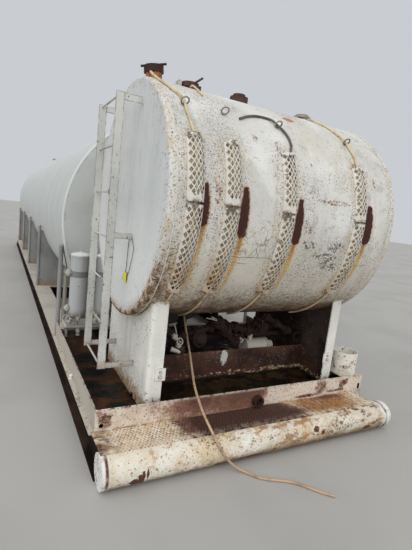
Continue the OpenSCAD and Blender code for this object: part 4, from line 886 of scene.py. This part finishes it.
welds = Batch()
for x in (-0.885, 0.885):   # between shell and heads
    bead(welds, [around(x, TR, a * 1.5) for a in range(240)], 0.0035, True)
for s in (-1, 1):   # on the saddles
    x0, x1 = s * 0.742, s * 0.846
    for y in (0.296, 1.334):
        bead(welds, [(x0 + (x1 - x0) * k / 12, Y0 + y, belly(y) + 0.002) for k in range(13)], 0.006)
    bead(welds, [(s * 0.853, Y0 + y, belly(y)) for y in (0.31 + 1.01 * k / 60 for k in range(61))], 0.005)
for x in FILL_X:   # round the fill necks
    neck = ring(around(x, TR + 0.001, 90), Vector((1, 0, 0)), Vector((0, 1, 0)), 0.059, 24)
    bead(welds, [p - Vector((0, 0, 0.0025 * ((p.y - TY) / 0.059) ** 2)) for p in neck], 0.005, True)
for y, z0, z1 in ((0.6, 2.275, 2.316), (1.08, 2.275, 2.316), (0.6, 1.391, 1.428)):   # at the brackets
    for dy in (-0.006, 0.006):
        bead(welds, [(-0.934, Y0 + y + dy, z0 + (z1 - z0) * k / 6) for k in range(7)], 0.0035)
welds.make("weld_beads", MATS["white"], "white_paint")

long_welds = Batch()
for y in (2.253, 4.05, 5.85, 7.65, 9.45, 11.157):
    bead(long_welds, ring(Vector((0, Y0 + y, LZ)), Vector((1, 0, 0)), Vector((0, 0, 1)), LR, 240), 0.004, True)
long_welds.make("long_weld_beads", MATS["long"], "grey_paint")


# ------------------------------------------------------------------ sight tubes
RUNS = (   # by guard: beside it in tank lengths, angle on the shell, lift in tube diameters
    ((-0.0332, 86, 2.8), (-0.048, 82, 2.4), (-0.059, 76, 1.4), (-0.0605, 70, 0.4), (-0.0535, 63.4, 0),
     (-0.0405, 58, 0), (-0.0255, 53.4, 0.1), (-0.0155, 49.5, 0.5), (-0.0125, 45, 0.6), (-0.0105, 40, 0.1),
     (-0.005, 34, 0), (0, 29, 0)),
    ((0, 27.5, 0),),
    ((-0.17, 44.2, 0), (-0.127, 47.7, 0), (-0.083, 49.9, 0), (-0.0425, 50.4, 0), (-0.018, 48.6, 0.4),
     (-0.008, 45, 0.6), (0.014, 43, 0.1), (0.025, 39, 0), (0.026, 34.5, 0), (0.018, 31.5, 0), (0.0095, 28.7, 0),
     (0.003, 26, 0), (0, 22, 0)),
    ((-0.0685, 72, 0), (-0.0515, 65.4, 0), (-0.033, 60, 0), (-0.0205, 54, 0), (-0.0125, 49, 0.5),
     (-0.0115, 45, 0.6), (-0.005, 42, 0.2), (0.003, 37, 0), (0, 31.5, 0)))
SHORT = (   # one more tube by the first guard: x, height over the shell, angle
    (-0.556, 0.022, 82), (-0.582, 0.02, 76), (-0.599, 0.015, 70), (-0.607, 0.01, 63.5), (-0.612, 0.008, 57.5))
TUBE = 0.016           # diameter
LIES = TR + 0.0083     # where its centre lies on the shell
DARK = 2               # the one that is a dark hose above its guard
tubes, dark = Batch(), Batch()
for i, run in enumerate(RUNS):
    points = [around(GAUGE_X[i] + f * LENGTH, LIES + k * TUBE, a) for f, a, k in run]
    start, foot = int(run[-1][1]) - 4, -74
    below = [around(GAUGE_X[i], LIES, a) for a in (*range(start, foot, -4), foot)]
    if i == DARK:
        dark.tube(smooth_path(points + below[:1], 3), TUBE / 2, 12)
        points = []
    tubes.tube(smooth_path(points + below, 3), TUBE / 2, 12)
tubes.tube(smooth_path([around(x, TR + lift, a) for x, lift, a in SHORT], 4), 0.0065, 12)
tubes.make("sight_tube_skins", MATS["tube"], "tube", replaces=("sight_tubes",))
dark.make("dark_sight_tube", MATS["dark_hose"], "hose")


# ------------------------------------------------------------------ water in the pan
def water(x0=-1.18, x1=1.18, y0=Y0 + 0.251, y1=Y0 + 2.133, level=0.243, nx=60, ny=48):
    b, row = Batch(), nx + 1
    b.add([(x0 + (x1 - x0) * i / nx, y0 + (y1 - y0) * j / ny, level) for j in range(ny + 1) for i in range(row)],
          [(k, k + 1, k + 1 + row, k + row) for j in range(ny) for k in range(j * row, j * row + nx)])
    b.make("pan_water", MATS["water"], "pan_dark")


water()


# ------------------------------------------------------------------ small pieces
def slab(b, outline, step):
    """A flat plate from its outline and the step through its thickness."""
    n = len(outline)
    b.add(outline + [p + Vector(step) for p in outline], [tuple(range(n - 1, -1, -1)), tuple(range(n, 2 * n))]
          + [(i, (i + 1) % n, n + (i + 1) % n, n + i) for i in range(n)])


def wheel(b, at, axis, size, spokes=4):
    """A hand wheel: a round rim, spokes and a hub."""
    axis = Vector(axis).normalized()
    a = axis.orthogonal().normalized()
    c = axis.cross(a)
    b.tube(ring(at, a, c, size, 16), 0.0045, 8, True)
    for p in ring(at, a, c, size, spokes):
        b.tube([at - axis * 0.005, p], 0.0035, 6)
    b.lathe(at - axis * 0.02, axis, [(0, size * 0.24), (0.024, size * 0.24), (0.03, size * 0.15)], 10)


def turned(b, at, axis, r, profile, sides):
    """A turned piece whose profile is given in parts of the radius r."""
    b.lathe(at, axis, [(r * h, r * k) for h, k in profile], sides)


def union(b, at, axis, r):
    """A pipe union: a hexagon nut between two collars."""
    axis = Vector(axis).normalized()
    turned(b, at - axis * r * 1.4, axis, r, ((0, 1), (0.7, 1.05), (0.72, 1.45), (1.9, 1.45), (2.0, 1.1), (2.8, 1)), 8)


def plug(b, at, axis, r):
    """A small turned plug or drain cock."""
    turned(b, at, axis, r, ((0, 1), (1.2, 1), (1.3, 1.5), (2.1, 1.5), (2.3, 0.8), (3.4, 0.8), (3.6, 1.2), (4.4, 1.2),
                            (4.7, 0.6)), 12)


wires = Batch()
for r, points in (
        (0.0022, ((-936, 640, 1394), (-939, 655, 1372), (-940, 660, 1290), (-940, 664, 1210), (-942, 670, 1142))),
        (0.0022, ((-936, 622, 1420), (-940, 585, 1395), (-940, 545, 1350), (-940, 536, 1320), (-940, 552, 1270),
                  (-940, 575, 1225), (-940, 600, 1165), (-942, 640, 1130), (-942, 668, 1140))),
        (0.002, ((-1085, 610, 1735), (-1100, 600, 1723), (-1118, 600, 1698), (-1106, 612, 1664), (-1080, 632, 1640)))):
    wires.tube(curve(points), r, 6)
wires.make("tag_wires", MATS["wire"], "bare_steel")
tag = Batch()
slab(tag, [front(-943, y, z) for y, z in ((642, 1151), (714, 1146), (720, 1139), (722, 1091), (716, 1085), (646, 1078),
                                          (640, 1084), (636, 1144))], (-0.002, 0, 0))
tag.make("yellow_tag", MATS["yellow"], "lid_white", 20)

fit = Batch()
wheel(fit, front(-1133, 1886, 451), (0.1, -1, 0.3), 0.036)
for z, r in ((905, 0.0225), (548, 0.02)):
    union(fit, front(-1124, 1935, z), (0, 0, 1), r)
for at, axis, r in (((-1021, 1885, 430), (0, 0, 1), 0.019), ((-1104, 1890, 404), (0.2, -0.4, 1), 0.012),
                    ((-1007, 1925, 330), (0, 0, -1), 0.016), ((-850, 1880, 404), (0, 0, 1), 0.019)):
    plug(fit, front(*at), axis, r)
fit.tube(curve(((-930, 1880, 560), (-895, 1876, 520), (-850, 1880, 478))), 0.008, 8)
wheel(fit, front(-915, 1868, 548), (0.5, -0.5, 0.7), 0.022)
fit.make("filter_fittings", MATS["fitting"], "pipe_cream")
strut = Batch()
strut.tube([front(-1162, 2140, 1124), front(-1119, 2100, 917)], 0.006, 8)
strut.make("filter_strut", MATS["wire"], "rusty_iron")

under = Batch()
for at, axis, r in (((-575, 520, 700), (0.55, -0.5, -0.75), 0.017), ((-548, 505, 640), (0.5, -0.3, -0.8), 0.014),
                    ((129, 700, 573), (1, 0, 0.1), 0.018)):
    union(under, front(*at), axis, r)
under.tube([front(-600, 520, 610), front(-530, 500, 588)], [0.02, 0.015], 10)
wheel(under, front(-545, 490, 672), (0.2, -1, 0.3), 0.026, 3)
for a, mid, c in (((-285, 600, 812), (-208.5, 600, 796), (-132, 600, 756)),
                  ((-240, 600, 822), (-180, 605, 790.5), (-120, 610, 735)),
                  ((-585, 540, 800), (-572.5, 530, 762), (-560, 520, 700))):
    under.tube(curve((a, mid, c), 3), 0.005, 6)
under.make("white_fittings", MATS["barrel"], "white_paint")

rusted = Batch()
for a, c, r in (((-700, 600, 700), (-510, 640, 590), 0.03), ((-640, 620, 790), (-520, 520, 600), 0.022),
                ((-150, 640, 760), (60, 700, 580), 0.034), ((-20, 760, 700), (230, 760, 640), 0.03),
                ((-420, 700, 640), (-180, 700, 700), 0.026), ((420, 760, 760), (640, 720, 640), 0.028)):
    a, c = front(*a), front(*c)
    rusted.tube([a, c], r, 12)
    for f in (0, 0.45, 1):
        union(rusted, a + (c - a) * f, c - a, r * 1.15)
rusted.lathe(front(-330, 620, 640), (0.2, -1, 0.2), ((0, 0.045), (0.02, 0.05), (0.022, 0.068), (0.036, 0.068),
                                                     (0.038, 0.056), (0.062, 0.048), (0.076, 0.026)), 24)
for at, axis, size in (((40, 640, 640), (-0.3, -1, 0.5), 0.06), ((300, 680, 700), (0.1, -1, 0.1), 0.065)):
    wheel(rusted, front(*at), axis, size, 5)
    rusted.tube([front(*at), front(*at) - Vector(axis).normalized() * 0.12], 0.01, 8)
rusted.make("rusted_fittings", MATS["brown"], "rust_brown")

lug = Batch()
slab(lug, [front(x, 827, z) for x, z in ((-617, 2480), (-617, 2548), (-611, 2556), (-592, 2556), (-585, 2549),
                                         (-585, 2480))], (0, 0.046, 0))
lug.make("cap_lug", MATS["lug"], "white_paint", 20)
ledge = Batch()
ledge.lathe(front(-1198, 1070, 192), (0, 0, 1), ((0, 0.02), (0.006, 0.02), (0.008, 0.012), (0.02, 0.012),
                                                 (0.024, 0.016), (0.034, 0.016), (0.04, 0.009)), 16)
ledge.make("ledge_knob", MATS["lid"], "white_paint")
bolts = Batch()
for x in (-762, 762):
    for z, size in ((505, 0.015), (540, 0.011)):
        bolts.bolt(front(x, 291, z), (0, -1, 0), size)
bolts.make("saddle_bolts", MATS["cream"], "white_paint")


# ------------------------------------------------------------------ studio
def studio():
    sc = bpy.context.scene
    sc.view_settings.view_transform = "Standard"
    sc.world = bpy.data.worlds.new("studio")
    sc.world.use_nodes = True
    colour, strength = sc.world.node_tree.nodes["Background"].inputs[:2]
    colour.default_value, strength.default_value = (0.86, 0.89, 0.93, 1), 0.68
    me = bpy.data.meshes.new("floor")
    me.from_pydata([(-60, -60, -0.001), (60, -60, -0.001), (60, 60, -0.001), (-60, 60, -0.001)], [], [(0, 1, 2, 3)])
    m = Mat("studio_floor", (176, 174, 170), 0.85)
    m.paint((168, 166, 162), m.cloud(0.4, 0.7, 0.8, 3, 0.5))
    me.materials.append(m.done(0.2))
    floor = bpy.data.objects.new("studio_floor", me)
    sc.collection.objects.link(floor)
    for name, turn, power, angle in (("key", (47, 0, -10), 1.18, 60), ("left", (62, 0, -74), 0.95, 70)):
        sun = bpy.data.lights.new(name, "SUN")
        sun.energy, sun.angle, sun.color = power, math.radians(angle), (1, 0.985, 0.96)
        ob = bpy.data.objects.new(name, sun)
        ob.rotation_euler = [math.radians(a) for a in turn]
        sc.collection.objects.link(ob)


studio()
